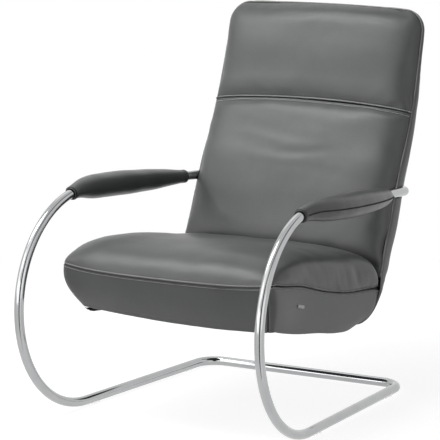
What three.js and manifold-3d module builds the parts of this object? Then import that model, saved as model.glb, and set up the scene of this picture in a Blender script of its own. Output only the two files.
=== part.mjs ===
// Cantilever lounge chair. One bent steel tube stands on the floor, rises in two round
// front bows and runs back as the arms. It carries an upholstered seat and back shell
// on a cross tube behind the back. Millimetres, +Z up, the chair faces -Y.
import * as THREE from 'three';
import { mergeVertices } from 'three/addons/utils/BufferGeometryUtils.js';
import Module from 'manifold-3d';

const wasm = await Module();
wasm.setup();

const degrees = (angle) => THREE.MathUtils.degToRad(angle);

// Clearances
const GAP = 0.3;
const SEAM_GAP = 0.6;
const FOAM_CLEARANCE = 1.4;

// Steel tube frame
const TUBE_RADIUS = 12.5;
const TUBE_WALL = 2;
const TUBE_SIDES = 16;
const FRAME_SIDE_EXTRA = 1;
const FRAME_REAR_Y = 340;
const TOE_OUT = degrees(3);
const BOW_RADIUS = 283;
const BOW_CENTRE_Y = -241;
const BOW_STEPS = 9;
const ARM_FALL = degrees(3.64);
const BASE_BEND_RADIUS = 60;
const ARM_BEND_RADIUS = 45;
const BEND_STEPS = 5;
const CROSS_TUBE_Y = 372;

// The sway of the sprung frame turns about the foremost points of the bows
const SWAY_GAP = 0.4;
const SWAY_WEDGE_ANGLE = degrees(5.6);

// Floor glides
const GLIDE_LIFT = 2.5;
const GLIDE_LENGTH = 44;
const GLIDE_WIDTH = 16;
const GLIDE_HUG = 4;
const GLIDE_FRONT_INSET = 30;
const GLIDE_REAR_INSET = 105;

// Seat cushion, measured along its seam
const SEAT_HALF_WIDTH = 303;
const SEAT_FRONT_Y = -389;
const SEAT_FRONT_BOW = 27;
const SEAT_REAR_Y = 190;
const SEAT_SEAM_BELOW_CROSS = 129.6;
const SEAT_SEAM_DROP = 103;
const SEAT_CROWN = 109;
const SEAT_SIDE_BULGE = 6;
const SEAT_POWER = 4.2;
const SEAT_FOAM_TUCK = 16;
const SEAT_FOAM_FRONT_TUCK = 42;
const SEAT_FOAM_REAR_TUCK = 64;

// Lower edge of the seat's border
const EDGE_SIDE_TUCK = 24;
const EDGE_FRONT_TUCK = 51;
const EDGE_FRONT_BOW = 12;
const EDGE_REAR_TUCK = 72;
const EDGE_BELOW_SEAM = 122;
const EDGE_DROP = 80;
const BORDER_BULGE = 7;
const DUST_COVER_THICKNESS = 1.5;
const DUST_COVER_RISE = 0.5;

// Back cushion, measured along its front seam
const BACK_BELOW_CROSS = 210.6;
const BACK_BEHIND_SEAT = 14;
const BACK_HEIGHT = 684;
const BACK_REACH = 262;
const BACK_SIDE_EXTRA = 1;
const BACK_TOP_TAPER = 11;
const BACK_CORNER_RADIUS = 45;
const BACK_CROWN = 50;
const BACK_POWER = 2.6;
const BACK_LEAN = degrees(22);
const HEAD_SEAM_SHARE = 0.612;
const HEAD_SEAM_DEPTH = 8;
const HEAD_SEAM_HALF_WIDTH = 17;
const BACK_FOAM_DEPTH = 1;
const BACK_FOAM_TUCK = 8;
const ARM_DENT_CLEARANCE = 1;

// Rear cover with its side strips
const REAR_DEPTH = 62;
const REAR_CROWN = 9;
const REAR_POWER = 9;

// Leather and trim
const LEATHER = 2;
const TAG_LENGTH = 34;
const TAG_HEIGHT = 8;
const TAG_THICKNESS = 0.8;
const TAG_Y = -207;
const TAG_DROP = 45;

// Welded inner frame of flat bar
const BAR_WIDTH = 25;
const BAR_THICKNESS = 6;
const RAIL_SIDE_CLEARANCE = 8.5;
const RAIL_FRONT_CLEARANCE = 20;
const RAIL_REAR_CLEARANCE = 14;
const RAIL_RISE = 36;
const RAIL_BEND_RADIUS = 62;
const RAIL_BACK_DEPTH = 9.2;
const MIDDLE_BAR_MARGIN = 1;

// Seat springs and back webbing
const SPRING_WIRE = 4;
const SPRING_PITCH = 40;
const SPRING_AMPLITUDE = 24;
const SPRING_COUNT = 4;
const SPRING_SPACING = 118;
const SPRING_SIDES = 4;
const STRAP_WIDTH = 60;
const STRAP_THICKNESS = 1.5;
const STRAP_DEPTH = 4;

// Arm pads
const PAD_FRONT_Y = -306;
const PAD_REAR_Y = 248;
const PAD_HALF_WIDTH = 38;
const PAD_HALF_HEIGHT = 32;
const PAD_END_WALL = 4.1;
const PAD_SAG = 5;
const PAD_SIDES = 14;
const PAD_POWER = 2.2;
const PAD_LEATHER = 1.6;
const CUFF_LENGTH = 4;

// Clamps that hold the back shell on the cross tube
const CLAMP_SPACING = 300;
const CLAMP_WIDTH = 46;
const CLAMP_EDGE = 9.5;
const CLAMP_WALL = 5;
const CLAMP_STAND_OFF = 2.4;
const SCREW_RADIUS = 4;
const SCREW_END = 1.3;
const SCREW_HEAD_RADIUS = 6.5;
const SCREW_HEAD_HEIGHT = 4.5;
const SCREW_HEAD_CLEARANCE = 1.5;
const SCREW_SIDES = 10;

// Finishes
const steel = new THREE.MeshStandardMaterial({ color: 0xb9bcbc, metalness: 1, roughness: 0.3 });
const darkSteel = new THREE.MeshStandardMaterial({ color: 0x2b2c2d, metalness: 0.8, roughness: 0.5 });
const leather = new THREE.MeshStandardMaterial({ color: 0x646665, metalness: 0, roughness: 0.55 });
const foam = new THREE.MeshStandardMaterial({ color: 0xd9d2b8, metalness: 0, roughness: 0.95 });
const blackCloth = new THREE.MeshStandardMaterial({ color: 0x1b1b1c, metalness: 0, roughness: 0.95 });
const plastic = new THREE.MeshStandardMaterial({ color: 0x3a3b3c, metalness: 0, roughness: 0.6 });
const tagCloth = new THREE.MeshStandardMaterial({ color: 0xa9abaa, metalness: 0, roughness: 0.8 });

// Sizes that follow from the ones above
const EDGE_HALF_WIDTH = SEAT_HALF_WIDTH - EDGE_SIDE_TUCK;
const EDGE_FRONT_Y = SEAT_FRONT_Y + EDGE_FRONT_TUCK;
const EDGE_REAR_Y = SEAT_REAR_Y - EDGE_REAR_TUCK;
const BACK_HALF_WIDTH = SEAT_HALF_WIDTH + BACK_SIDE_EXTRA;
const BACK_BOTTOM_Y = SEAT_REAR_Y + BACK_BEHIND_SEAT;
const FRAME_REAR_WIDTH = (BACK_HALF_WIDTH + FRAME_SIDE_EXTRA) * 2;
const RAIL_HALF_SPACING = EDGE_HALF_WIDTH - LEATHER - RAIL_SIDE_CLEARANCE - BAR_WIDTH / 2;
const RAIL_FRONT_Y = EDGE_FRONT_Y + RAIL_FRONT_CLEARANCE;
const RAIL_REAR_Y = SEAT_REAR_Y - RAIL_REAR_CLEARANCE;
const PAD_END_RADIUS = TUBE_RADIUS + PAD_END_WALL;
const SCREW_SPREAD = (TUBE_RADIUS + CLAMP_WALL + SCREW_HEAD_RADIUS + SCREW_HEAD_CLEARANCE) * 2;
const CLAMP_HEIGHT = SCREW_SPREAD + CLAMP_EDGE * 2;
const MIDDLE_BAR_HEIGHT = CLAMP_HEIGHT + MIDDLE_BAR_MARGIN * 2;

const up = new THREE.Vector3(0, 0, 1);
const forward = new THREE.Vector3(0, -Math.cos(BACK_LEAN), Math.sin(BACK_LEAN));

const FRAME_AXIS_Z = GLIDE_LIFT + TUBE_RADIUS;
const BOW_CENTRE_Z = FRAME_AXIS_Z + BOW_RADIUS;

// A path whose rings fall exactly on the given stations
class StationCurve extends THREE.Curve {
  constructor(stations) {
    super();
    this.stations = stations;
  }

  getPoint(t, target = new THREE.Vector3()) {
    const last = this.stations.length - 1;
    const index = Math.min(Math.floor(t * last), last - 1);
    return target.lerpVectors(this.stations[index], this.stations[index + 1], t * last - index);
  }

  getTangent(t, target = new THREE.Vector3()) {
    const last = this.stations.length - 1;
    const index = Math.round(t * last);
    const here = this.stations[index];
    const before = this.stations[Math.max(index - 1, 0)];
    const after = this.stations[Math.min(index + 1, last)];
    const arriving = new THREE.Vector3().subVectors(here, before).normalize();
    const leaving = new THREE.Vector3().subVectors(after, here).normalize();
    return target.addVectors(arriving, leaving).normalize();
  }

  getPointAt(u, target) {
    return this.getPoint(u, target);
  }

  getTangentAt(u, target) {
    return this.getTangent(u, target);
  }
}

function sweep(shape, stations) {
  const path = new StationCurve(stations);
  const settings = { steps: stations.length - 1, extrudePath: path, bevelEnabled: false, curveSegments: 1 };
  return clean(new THREE.ExtrudeGeometry(shape, settings));
}

function clean(geometry) {
  const bare = geometry.clone();
  bare.deleteAttribute('normal');
  bare.deleteAttribute('uv');
  const merged = mergeVertices(bare, GAP / 300);
  return outward(merged);
}

function signedVolume(geometry) {
  const points = geometry.getAttribute('position');
  const index = geometry.getIndex();
  const [a, b, c] = [new THREE.Vector3(), new THREE.Vector3(), new THREE.Vector3()];
  let volume = 0;
  for (let i = 0; i < index.count; i += 3) {
    a.fromBufferAttribute(points, index.getX(i));
    b.fromBufferAttribute(points, index.getX(i + 1));
    c.fromBufferAttribute(points, index.getX(i + 2));
    volume += a.dot(b.cross(c)) / 6;
  }
  return volume;
}

function outward(geometry) {
  if (signedVolume(geometry) < 0) {
    geometry.setIndex([...geometry.getIndex().array].reverse());
  }
  return geometry;
}

function toSolid(geometry) {
  const tidy = clean(geometry);
  const vertProperties = new Float32Array(tidy.getAttribute('position').array);
  const triVerts = new Uint32Array(tidy.getIndex().array);
  return new wasm.Manifold(new wasm.Mesh({ numProp: 3, vertProperties, triVerts }));
}

function toGeometry(solid) {
  const mesh = solid.getMesh();
  const geometry = new THREE.BufferGeometry();
  geometry.setAttribute('position', new THREE.BufferAttribute(new Float32Array(mesh.vertProperties), 3));
  geometry.setIndex([...mesh.triVerts]);
  return geometry;
}

function cut(geometry, ...tools) {
  return toGeometry(tools.reduce((solid, tool) => solid.subtract(toSolid(tool)), toSolid(geometry)));
}

function join(first, ...others) {
  return toGeometry(others.reduce((solid, other) => solid.add(toSolid(other)), toSolid(first)));
}

function piece(name, geometry, material) {
  const mesh = new THREE.Mesh(geometry, material);
  mesh.name = name;
  return mesh;
}

function circle(radius, sides, turn = 0) {
  return Array.from({ length: sides }, (_, i) => {
    const angle = (2 * Math.PI * (i + turn)) / sides;
    return new THREE.Vector2(radius * Math.cos(angle), radius * Math.sin(angle));
  });
}

// A half-step turn gives the section a flat on each axis
function ringShape(radius, wall, sides) {
  const shape = new THREE.Shape(circle(radius, sides, 0.5));
  shape.holes.push(new THREE.Path(circle(radius - wall, sides, 0.5)));
  return shape;
}

function discShape(radius, sides) {
  return new THREE.Shape(circle(radius, sides, 0.5));
}

function barShape(width, height) {
  const [x, y] = [width / 2, height / 2];
  return new THREE.Shape([[-x, -y], [x, -y], [x, y], [-x, y]].map(([a, b]) => new THREE.Vector2(a, b)));
}

// Smooth curve through [place, value] pairs that never overshoots them
function smoothTable(pairs) {
  const slopes = pairs.map((_, i) => {
    if (i === 0 || i === pairs.length - 1) return 0;
    const before = (pairs[i][1] - pairs[i - 1][1]) / (pairs[i][0] - pairs[i - 1][0]);
    const after = (pairs[i + 1][1] - pairs[i][1]) / (pairs[i + 1][0] - pairs[i][0]);
    return before * after <= 0 ? 0 : (2 * before * after) / (before + after);
  });
  slopes[0] = (pairs[1][1] - pairs[0][1]) / (pairs[1][0] - pairs[0][0]);
  const end = pairs.length - 1;
  slopes[end] = (pairs[end][1] - pairs[end - 1][1]) / (pairs[end][0] - pairs[end - 1][0]);
  return (place) => {
    const next = Math.min(Math.max(pairs.findIndex(([at]) => at >= place), 1), end);
    const i = place > pairs[end][0] ? end - 1 : next - 1;
    const width = pairs[i + 1][0] - pairs[i][0];
    const t = THREE.MathUtils.clamp((place - pairs[i][0]) / width, 0, 1);
    const [h0, h1] = [2 * t ** 3 - 3 * t ** 2 + 1, t ** 3 - 2 * t ** 2 + t];
    const [h2, h3] = [-2 * t ** 3 + 3 * t ** 2, t ** 3 - t ** 2];
    return h0 * pairs[i][1] + h1 * width * slopes[i] + h2 * pairs[i + 1][1] + h3 * width * slopes[i + 1];
  };
}

// Closed wall between two grids of points that have the same rows and columns
function wallBetween(outer, inner) {
  const rows = outer.length;
  const columns = outer[0].length;
  const points = [...outer.flat(), ...inner.flat()];
  const at = (side, r, c) => side * rows * columns + r * columns + c;
  const index = [];
  const quad = (a, b, c, d) => index.push(a, b, c, a, c, d);
  for (let r = 0; r < rows - 1; r += 1) {
    for (let c = 0; c < columns - 1; c += 1) {
      quad(at(0, r, c), at(0, r, c + 1), at(0, r + 1, c + 1), at(0, r + 1, c));
      quad(at(1, r, c), at(1, r + 1, c), at(1, r + 1, c + 1), at(1, r, c + 1));
    }
  }
  for (let r = 0; r < rows - 1; r += 1) {
    quad(at(0, r, 0), at(0, r + 1, 0), at(1, r + 1, 0), at(1, r, 0));
    quad(at(0, r + 1, columns - 1), at(0, r, columns - 1), at(1, r, columns - 1), at(1, r + 1, columns - 1));
  }
  for (let c = 0; c < columns - 1; c += 1) {
    quad(at(0, 0, c + 1), at(0, 0, c), at(1, 0, c), at(1, 0, c + 1));
    quad(at(0, rows - 1, c), at(0, rows - 1, c + 1), at(1, rows - 1, c + 1), at(1, rows - 1, c));
  }
  const geometry = new THREE.BufferGeometry();
  geometry.setFromPoints(points);
  geometry.setIndex(index);
  return outward(geometry);
}

// Closed body of rings that are joined along their length, the last ring to the first if it loops
function closedRings(rings) {
  const around = rings[0].length;
  const index = [];
  rings.forEach((_, r) => {
    const next = (r + 1) % rings.length;
    for (let c = 0; c < around; c += 1) {
      const side = (c + 1) % around;
      index.push(r * around + c, r * around + side, next * around + side);
      index.push(r * around + c, next * around + side, next * around + c);
    }
  });
  const geometry = new THREE.BufferGeometry();
  geometry.setFromPoints(rings.flat());
  geometry.setIndex(index);
  return outward(geometry);
}

// Every point of a grid moved off its surface, towards the side where rows x columns point.
// Points of the rim move only within the plane that the rim's direction stands on.
function offsetGrid(grid, distance, rimDirection) {
  const [lastRow, lastColumn] = [grid.length - 1, grid[0].length - 1];
  const points = grid.flat();
  const middle = points.reduce((sum, point) => sum.add(point), new THREE.Vector3()).divideScalar(points.length);
  return grid.map((line, r) => line.map((point, c) => {
    const along = new THREE.Vector3().subVectors(
      grid[Math.min(r + 1, lastRow)][c], grid[Math.max(r - 1, 0)][c]);
    const across = new THREE.Vector3().subVectors(
      line[Math.min(c + 1, lastColumn)], line[Math.max(c - 1, 0)]);
    const way = along.cross(across).normalize();
    const onRim = r === 0 || c === 0 || r === lastRow || c === lastColumn;
    if (onRim && rimDirection) {
      way.projectOnPlane(rimDirection);
      const corner = way.length() < 0.4;
      if (corner) way.subVectors(middle, point).multiplyScalar(Math.sign(distance));
      way.projectOnPlane(rimDirection).setLength(corner ? Math.SQRT2 : 1);
    }
    return way.multiplyScalar(distance).add(point);
  }));
}

// Columns of a cushion section from one side to the other: place across and fullness
function sectionColumns(power, count) {
  return Array.from({ length: count + 1 }, (_, i) => {
    const angle = -Math.PI / 2 + (Math.PI * i) / count;
    const across = Math.sign(Math.sin(angle)) * Math.abs(Math.sin(angle)) ** (2 / power);
    const fullness = i === 0 || i === count ? 0 : Math.abs(Math.cos(angle)) ** (2 / power);
    return { across, fullness };
  });
}

// Tube frame

const sideX = (y) => FRAME_REAR_WIDTH / 2 + (FRAME_REAR_Y - y) * Math.tan(TOE_OUT);

function bowPoint(angle) {
  const y = BOW_CENTRE_Y - BOW_RADIUS * Math.sin(angle);
  return new THREE.Vector3(sideX(y), y, BOW_CENTRE_Z - BOW_RADIUS * Math.cos(angle));
}

function bowPoints(from, to) {
  return Array.from({ length: BOW_STEPS + 1 }, (_, i) => bowPoint(from + ((to - from) * i) / BOW_STEPS));
}

// Stations of a round bend that replaces the corner between two straight runs
function bend(before, corner, after, radius, steps = BEND_STEPS) {
  const arriving = new THREE.Vector3().subVectors(before, corner).normalize();
  const leaving = new THREE.Vector3().subVectors(after, corner).normalize();
  const half = arriving.angleTo(leaving) / 2;
  const middle = new THREE.Vector3().addVectors(arriving, leaving).normalize();
  const centre = middle.clone().multiplyScalar(radius / Math.sin(half)).add(corner);
  const start = arriving.clone().multiplyScalar(radius / Math.tan(half)).add(corner).sub(centre);
  const axis = new THREE.Vector3().crossVectors(leaving, arriving).normalize();
  const turn = Math.PI - 2 * half;
  return Array.from({ length: steps + 1 }, (_, i) =>
    start.clone().applyAxisAngle(axis, (turn * i) / steps).add(centre));
}

const mirrored = (points) => points.map((p) => new THREE.Vector3(-p.x, p.y, p.z)).reverse();

function baseStations() {
  const front = bowPoint(0);
  const corner = new THREE.Vector3(sideX(FRAME_REAR_Y), FRAME_REAR_Y, FRAME_AXIS_Z);
  const middle = new THREE.Vector3(0, FRAME_REAR_Y, FRAME_AXIS_Z);
  const half = [...bowPoints(Math.PI / 2, 0), ...bend(front, corner, middle, BASE_BEND_RADIUS)];
  return [...half, ...mirrored(half)];
}

const armStart = bowPoint(Math.PI + ARM_FALL);
const armZ = (y) => armStart.z - (y - armStart.y) * Math.tan(ARM_FALL);

// The shell hangs on the cross tube, so its heights are measured down from there
const crossTubeZ = armZ(CROSS_TUBE_Y);
const SEAT_SEAM_FRONT_Z = crossTubeZ - SEAT_SEAM_BELOW_CROSS;
const EDGE_FRONT_Z = SEAT_SEAM_FRONT_Z - EDGE_BELOW_SEAM;
const BACK_BOTTOM_Z = crossTubeZ - BACK_BELOW_CROSS;

function armStations() {
  const corner = new THREE.Vector3(sideX(CROSS_TUBE_Y), CROSS_TUBE_Y, armZ(CROSS_TUBE_Y));
  const middle = new THREE.Vector3(0, CROSS_TUBE_Y, corner.z);
  const half = [
    ...bowPoints(Math.PI / 2, Math.PI + ARM_FALL),
    ...bend(armStart, corner, middle, ARM_BEND_RADIUS),
  ];
  return [...half, ...mirrored(half)];
}

// The tube is open at the foremost points, with a wedge of air so that the arms can sway back
function atForemost(block) {
  const foremost = bowPoint(Math.PI / 2);
  return [-1, 1].map((side) => block.clone().translate(side * foremost.x, foremost.y, foremost.z));
}

function tubeFrame() {
  const section = ringShape(TUBE_RADIUS, TUBE_WALL, TUBE_SIDES);
  const size = TUBE_RADIUS * 4;
  const overBase = new THREE.BoxGeometry(size, size, size);
  const underArms = overBase.clone();
  const wedge = overBase.clone();
  overBase.translate(0, 0, (size - SWAY_GAP) / 2);
  underArms.translate(0, 0, (SWAY_GAP - size) / 2);
  wedge.translate(0, size / 2, -size / 2).rotateX(SWAY_WEDGE_ANGLE).translate(0, 0, SWAY_GAP / 2);
  return {
    base: cut(sweep(section, baseStations()), ...atForemost(overBase)),
    arms: cut(sweep(section, armStations()), ...atForemost(underArms), ...atForemost(wedge)),
  };
}

const spaceAround = (stations, clearance) =>
  sweep(discShape(TUBE_RADIUS + clearance, TUBE_SIDES), stations);
const baseSpace = spaceAround(baseStations(), GAP);
const armSpace = spaceAround(armStations(), GAP);

// Small shoes that hug the underside of the runners and stand on the floor
function glide(y, side) {
  const body = new THREE.BoxGeometry(GLIDE_WIDTH, GLIDE_LENGTH, GLIDE_LIFT + GLIDE_HUG);
  body.translate(0, 0, (GLIDE_LIFT + GLIDE_HUG) / 2);
  body.rotateZ(side * TOE_OUT);
  body.translate(side * sideX(y), y, 0);
  return cut(body, baseSpace);
}

// Seat

const seatSeamShares = smoothTable([[0, 0], [0.13, 0.1], [0.25, 0.27], [0.5, 0.65], [0.75, 0.9], [1, 1]]);
const seatCrownShares = smoothTable([
  [0, 0], [0.012, 0.15], [0.05, 0.32], [0.11, 0.47], [0.19, 0.63], [0.29, 0.81], [0.43, 0.96],
  [0.58, 1], [0.74, 0.99], [0.86, 0.96], [0.945, 0.87], [0.975, 0.68], [0.992, 0.4], [1, 0],
]);
const seatRowShares = [0, 0.008, 0.03, 0.075, 0.14, 0.22, 0.33, 0.47, 0.62, 0.77, 0.88, 0.945, 0.975, 0.992, 1];
const SEAT_COLUMNS = 14;

const seatSeamZ = (share) => SEAT_SEAM_FRONT_Z - SEAT_SEAM_DROP * seatSeamShares(share);

function seatPoint(share, across, fullness) {
  const front = SEAT_FRONT_Y - SEAT_FRONT_BOW * (1 - across ** 2);
  const crown = seatCrownShares(share);
  const bulge = SEAT_SIDE_BULGE * 4 * fullness * (1 - fullness) * Math.min(1, crown * 2);
  return new THREE.Vector3(
    across * SEAT_HALF_WIDTH + Math.sign(across) * bulge,
    THREE.MathUtils.lerp(front, SEAT_REAR_Y, share),
    seatSeamZ(share) + SEAT_CROWN * crown * fullness);
}

function seatGrid() {
  const columns = sectionColumns(SEAT_POWER, SEAT_COLUMNS);
  return seatRowShares.map((share) => columns.map(({ across, fullness }) => seatPoint(share, across, fullness)));
}

function seatCover() {
  const grid = seatGrid();
  return wallBetween(grid, offsetGrid(grid, LEATHER, up));
}

// The flat pan that the springs make under the foam, parallel to the lower edge
const edgeShares = smoothTable([[0, 0], [0.25, 0.34], [0.5, 0.63], [0.75, 0.93], [0.88, 1], [1, 0.87]]);

function edgePoint(share, across) {
  const front = EDGE_FRONT_Y - EDGE_FRONT_BOW * (1 - across ** 2);
  return new THREE.Vector3(
    across * EDGE_HALF_WIDTH,
    THREE.MathUtils.lerp(front, EDGE_REAR_Y, share),
    EDGE_FRONT_Z - EDGE_DROP * edgeShares(share));
}

function railZ(y) {
  const slope = EDGE_DROP / (EDGE_REAR_Y - EDGE_FRONT_Y);
  return EDGE_FRONT_Z + RAIL_RISE - slope * (y - EDGE_FRONT_Y);
}

const springZ = (y) => railZ(y) + BAR_THICKNESS / 2 + GAP + SPRING_WIRE / 2;
const foamFloorZ = (y) => springZ(y) + SPRING_WIRE / 2 + GAP;

function seatFoam() {
  const top = offsetGrid(seatGrid(), LEATHER + FOAM_CLEARANCE, up);
  const columns = sectionColumns(SEAT_POWER, SEAT_COLUMNS);
  const bottom = seatRowShares.map((share) => columns.map(({ across }) => {
    const point = seatPoint(share, across, 0);
    point.x *= 1 - SEAT_FOAM_TUCK / SEAT_HALF_WIDTH;
    point.y += SEAT_FOAM_FRONT_TUCK * (1 - share) - SEAT_FOAM_REAR_TUCK * share;
    point.z = foamFloorZ(point.y);
    return point;
  }));
  return wallBetween(top, bottom);
}

// Border: from the seam down to the lower edge. Its rear edges follow the seam of the rear cover.

const WRAP_END_SHARE = 0.82;
const borderLevelShares = [0, 0.1, 0.3, 0.55, 0.8, 1];

function wrapSeam(share) {
  const top = backSeamPoint(0, 1);
  const turn = (share * Math.PI) / 2;
  const lowest = edgePoint(1, 1);
  return {
    y: THREE.MathUtils.lerp(lowest.y, top.y, Math.sin(turn)),
    z: THREE.MathUtils.lerp(lowest.z, top.z, 1 - Math.cos(turn)),
  };
}

function wrapHalfWidth(share) {
  const level = Math.max(0, 1 - share / WRAP_END_SHARE);
  return THREE.MathUtils.lerp(BACK_HALF_WIDTH, EDGE_HALF_WIDTH, level) + BORDER_BULGE * Math.sin(Math.PI * level);
}

function borderPoint(share, across, level) {
  const top = seatPoint(share, across, 0);
  const bottom = edgePoint(share, across);
  const point = new THREE.Vector3().lerpVectors(top, bottom, level);
  const swell = BORDER_BULGE * Math.sin(Math.PI * level);
  point.x += Math.sign(across) * Math.abs(across) ** 6 * swell;
  point.y -= share === 0 ? swell : 0;
  const seam = wrapSeam(WRAP_END_SHARE * (1 - level));
  const rear = new THREE.Vector3().lerpVectors(seatPoint(1, across, 0), edgePoint(1, across), level);
  const pull = share ** 4;
  point.y += (seam.y - SEAM_GAP * 4 - rear.y) * pull;
  point.z += (seam.z - rear.z) * pull - SEAM_GAP * (1 - level);
  return point;
}

function borderRun() {
  const side = seatRowShares.slice(1).reverse();
  const front = [1, 0.95, 0.78, 0.4, 0, -0.4, -0.78, -0.95, -1];
  return [
    ...side.map((share) => [share, 1]),
    ...front.map((across) => [0, across]),
    ...[...side].reverse().map((share) => [share, -1]),
  ];
}

function seatBorder() {
  const grid = borderLevelShares.map((level) => borderRun().map(([share, across]) => borderPoint(share, across, level)));
  return wallBetween(grid, offsetGrid(grid, LEATHER, up));
}

function dustCover() {
  const shares = [0, 0.25, 0.5, 0.75, 0.88, 1];
  const places = [-1, -0.78, -0.4, 0, 0.4, 0.78, 1];
  const inset = LEATHER + GAP;
  const grid = (rise) => shares.map((share) => places.map((across) => {
    const point = edgePoint(share, across);
    point.x -= across * inset;
    point.y += inset * (1 - 2 * share);
    point.z += rise;
    return point;
  }));
  return wallBetween(grid(DUST_COVER_RISE + DUST_COVER_THICKNESS), grid(DUST_COVER_RISE));
}

function blankTag() {
  const levels = [-0.5, 0.5].map((side) => (TAG_DROP + side * TAG_HEIGHT) / (SEAT_SEAM_FRONT_Z - EDGE_FRONT_Z));
  const length = SEAT_REAR_Y - SEAT_FRONT_Y;
  const middle = (TAG_Y - SEAT_FRONT_Y) / length;
  const shares = [-0.5, 0, 0.5].map((side) => middle + (side * TAG_LENGTH) / length);
  const grid = levels.map((level) => shares.map((share) => borderPoint(share, 1, level)));
  return wallBetween(offsetGrid(grid, GAP * 2 + TAG_THICKNESS), offsetGrid(grid, GAP * 2));
}

// Back

const backSeamShares = smoothTable([
  [0, 0], [0.093, 0.07], [0.175, 0.166], [0.285, 0.287], [0.4, 0.42], [0.487, 0.545],
  [0.611, 0.69], [0.716, 0.79], [0.833, 0.885], [0.922, 0.953], [1, 1],
]);
const backCrownShares = smoothTable([
  [0, 0], [0.03, 0.36], [0.07, 0.78], [0.12, 0.94], [0.32, 1], [0.62, 0.96], [0.8, 0.95],
  [0.9, 0.84], [0.96, 0.62], [0.99, 0.3], [1, 0],
]);
const stripShares = smoothTable([
  [0, 0.65], [0.06, 0.89], [0.12, 0.95], [0.197, 0.97], [0.335, 0.84], [0.465, 0.74],
  [0.605, 0.58], [0.7, 0.47], [0.838, 0.21], [0.92, 0.19], [0.985, 0.17], [1, 0],
]);
const wrapDepthShares = smoothTable([[0, 0.03], [0.2, 0.065], [0.4, 0.1], [0.6, 0.16], [0.8, 0.35], [1, 0.65]]);
const backRowShares = [0, 0.012, 0.04, 0.1, 0.2, 0.3, 0.4, 0.49, 0.56, 0.59, HEAD_SEAM_SHARE];
const headRowShares = [HEAD_SEAM_SHARE, 0.634, 0.67, 0.76, 0.86, 0.93, 0.968, 0.99, 1];
const rearRowShares = [
  0, 0.04, 0.1, 0.2, 0.3, 0.4, 0.49, 0.56, HEAD_SEAM_SHARE, 0.67, 0.76, 0.86, 0.93, 0.968, 0.99, 1,
];
const BACK_COLUMNS = 14;

function backHalfWidth(share) {
  const over = Math.max(0, BACK_HEIGHT * share - (BACK_HEIGHT - BACK_CORNER_RADIUS));
  const corner = BACK_CORNER_RADIUS - Math.sqrt(Math.max(0, BACK_CORNER_RADIUS ** 2 - over ** 2));
  return BACK_HALF_WIDTH - BACK_TOP_TAPER * share ** 2 - corner;
}

function backSeamPoint(share, across) {
  return new THREE.Vector3(
    across * backHalfWidth(share),
    BACK_BOTTOM_Y + BACK_REACH * backSeamShares(share),
    BACK_BOTTOM_Z + BACK_HEIGHT * share);
}

function backPoint(share, across, fullness) {
  const fromSeam = (share - HEAD_SEAM_SHARE) * BACK_HEIGHT;
  const groove = HEAD_SEAM_DEPTH * Math.exp(-((fromSeam / HEAD_SEAM_HALF_WIDTH) ** 2));
  const rise = (BACK_CROWN * backCrownShares(share) - groove) * fullness;
  return backSeamPoint(share, across).addScaledVector(forward, rise);
}

const backShares = [...backRowShares, ...headRowShares.slice(1)];

function backGrid() {
  const columns = sectionColumns(BACK_POWER, BACK_COLUMNS);
  return backShares.map((share) => columns.map(({ across, fullness }) => backPoint(share, across, fullness)));
}

// Rows of a whole-height grid that belong to the back cushion or to the headrest
function belowSeam(grid) {
  return shifted(grid.slice(0, backRowShares.length), -GAP / 2);
}

function aboveSeam(grid) {
  return shifted(grid.slice(backRowShares.length - 1), GAP / 2);
}

const shifted = (grid, lift) => grid.map((row) => row.map((point) => point.clone().setZ(point.z + lift)));

function backCover(part) {
  const grid = backGrid();
  return wallBetween(part(grid), part(offsetGrid(grid, LEATHER, forward)));
}

function backFoam(part) {
  const grid = backGrid();
  const rear = backShares.map((share, row) => grid[row].map((face) => {
    const place = face.x / backHalfWidth(share);
    const point = backSeamPoint(share, place).addScaledVector(forward, -BACK_FOAM_DEPTH);
    point.x *= 1 - BACK_FOAM_TUCK / BACK_HALF_WIDTH;
    point.z -= BACK_FOAM_TUCK * share ** 40;
    return point;
  }));
  return wallBetween(part(offsetGrid(grid, LEATHER + FOAM_CLEARANCE, forward)), part(rear));
}

// Rear cover: a shallow tray that closes the back from the front seam round under the seat

function trayPoint(seam, halfWidth, depth, lean, across, fullness) {
  const crown = REAR_CROWN * (1 - across ** 2) * Math.min(1, (2 * depth) / REAR_DEPTH);
  const reach = SEAM_GAP + (depth + crown) * fullness;
  return new THREE.Vector3(
    across * halfWidth, seam.y + reach * Math.cos(lean), seam.z - reach * Math.sin(lean));
}

function rearPoint(share, across, fullness) {
  const depth = REAR_DEPTH * stripShares(share);
  return trayPoint(backSeamPoint(share, 1), backHalfWidth(share), depth, BACK_LEAN, across, fullness);
}

function rearGrid() {
  const columns = sectionColumns(REAR_POWER, BACK_COLUMNS);
  const wrap = [...borderLevelShares].reverse().map((level) => {
    const share = WRAP_END_SHARE * (1 - level);
    const lean = THREE.MathUtils.lerp(Math.PI / 2, BACK_LEAN, share);
    const depth = REAR_DEPTH * wrapDepthShares(share);
    return columns.map(({ across, fullness }) =>
      trayPoint(wrapSeam(share), wrapHalfWidth(share), depth, lean, across, fullness));
  });
  const upright = rearRowShares.map((share) =>
    columns.map(({ across, fullness }) => rearPoint(share, across, fullness)));
  return [...wrap, ...upright];
}

function rearCover() {
  const grid = rearGrid();
  return wallBetween(grid, offsetGrid(grid, -LEATHER, forward));
}

// Welded inner frame

const clampX = CLAMP_SPACING / 2;

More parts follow.
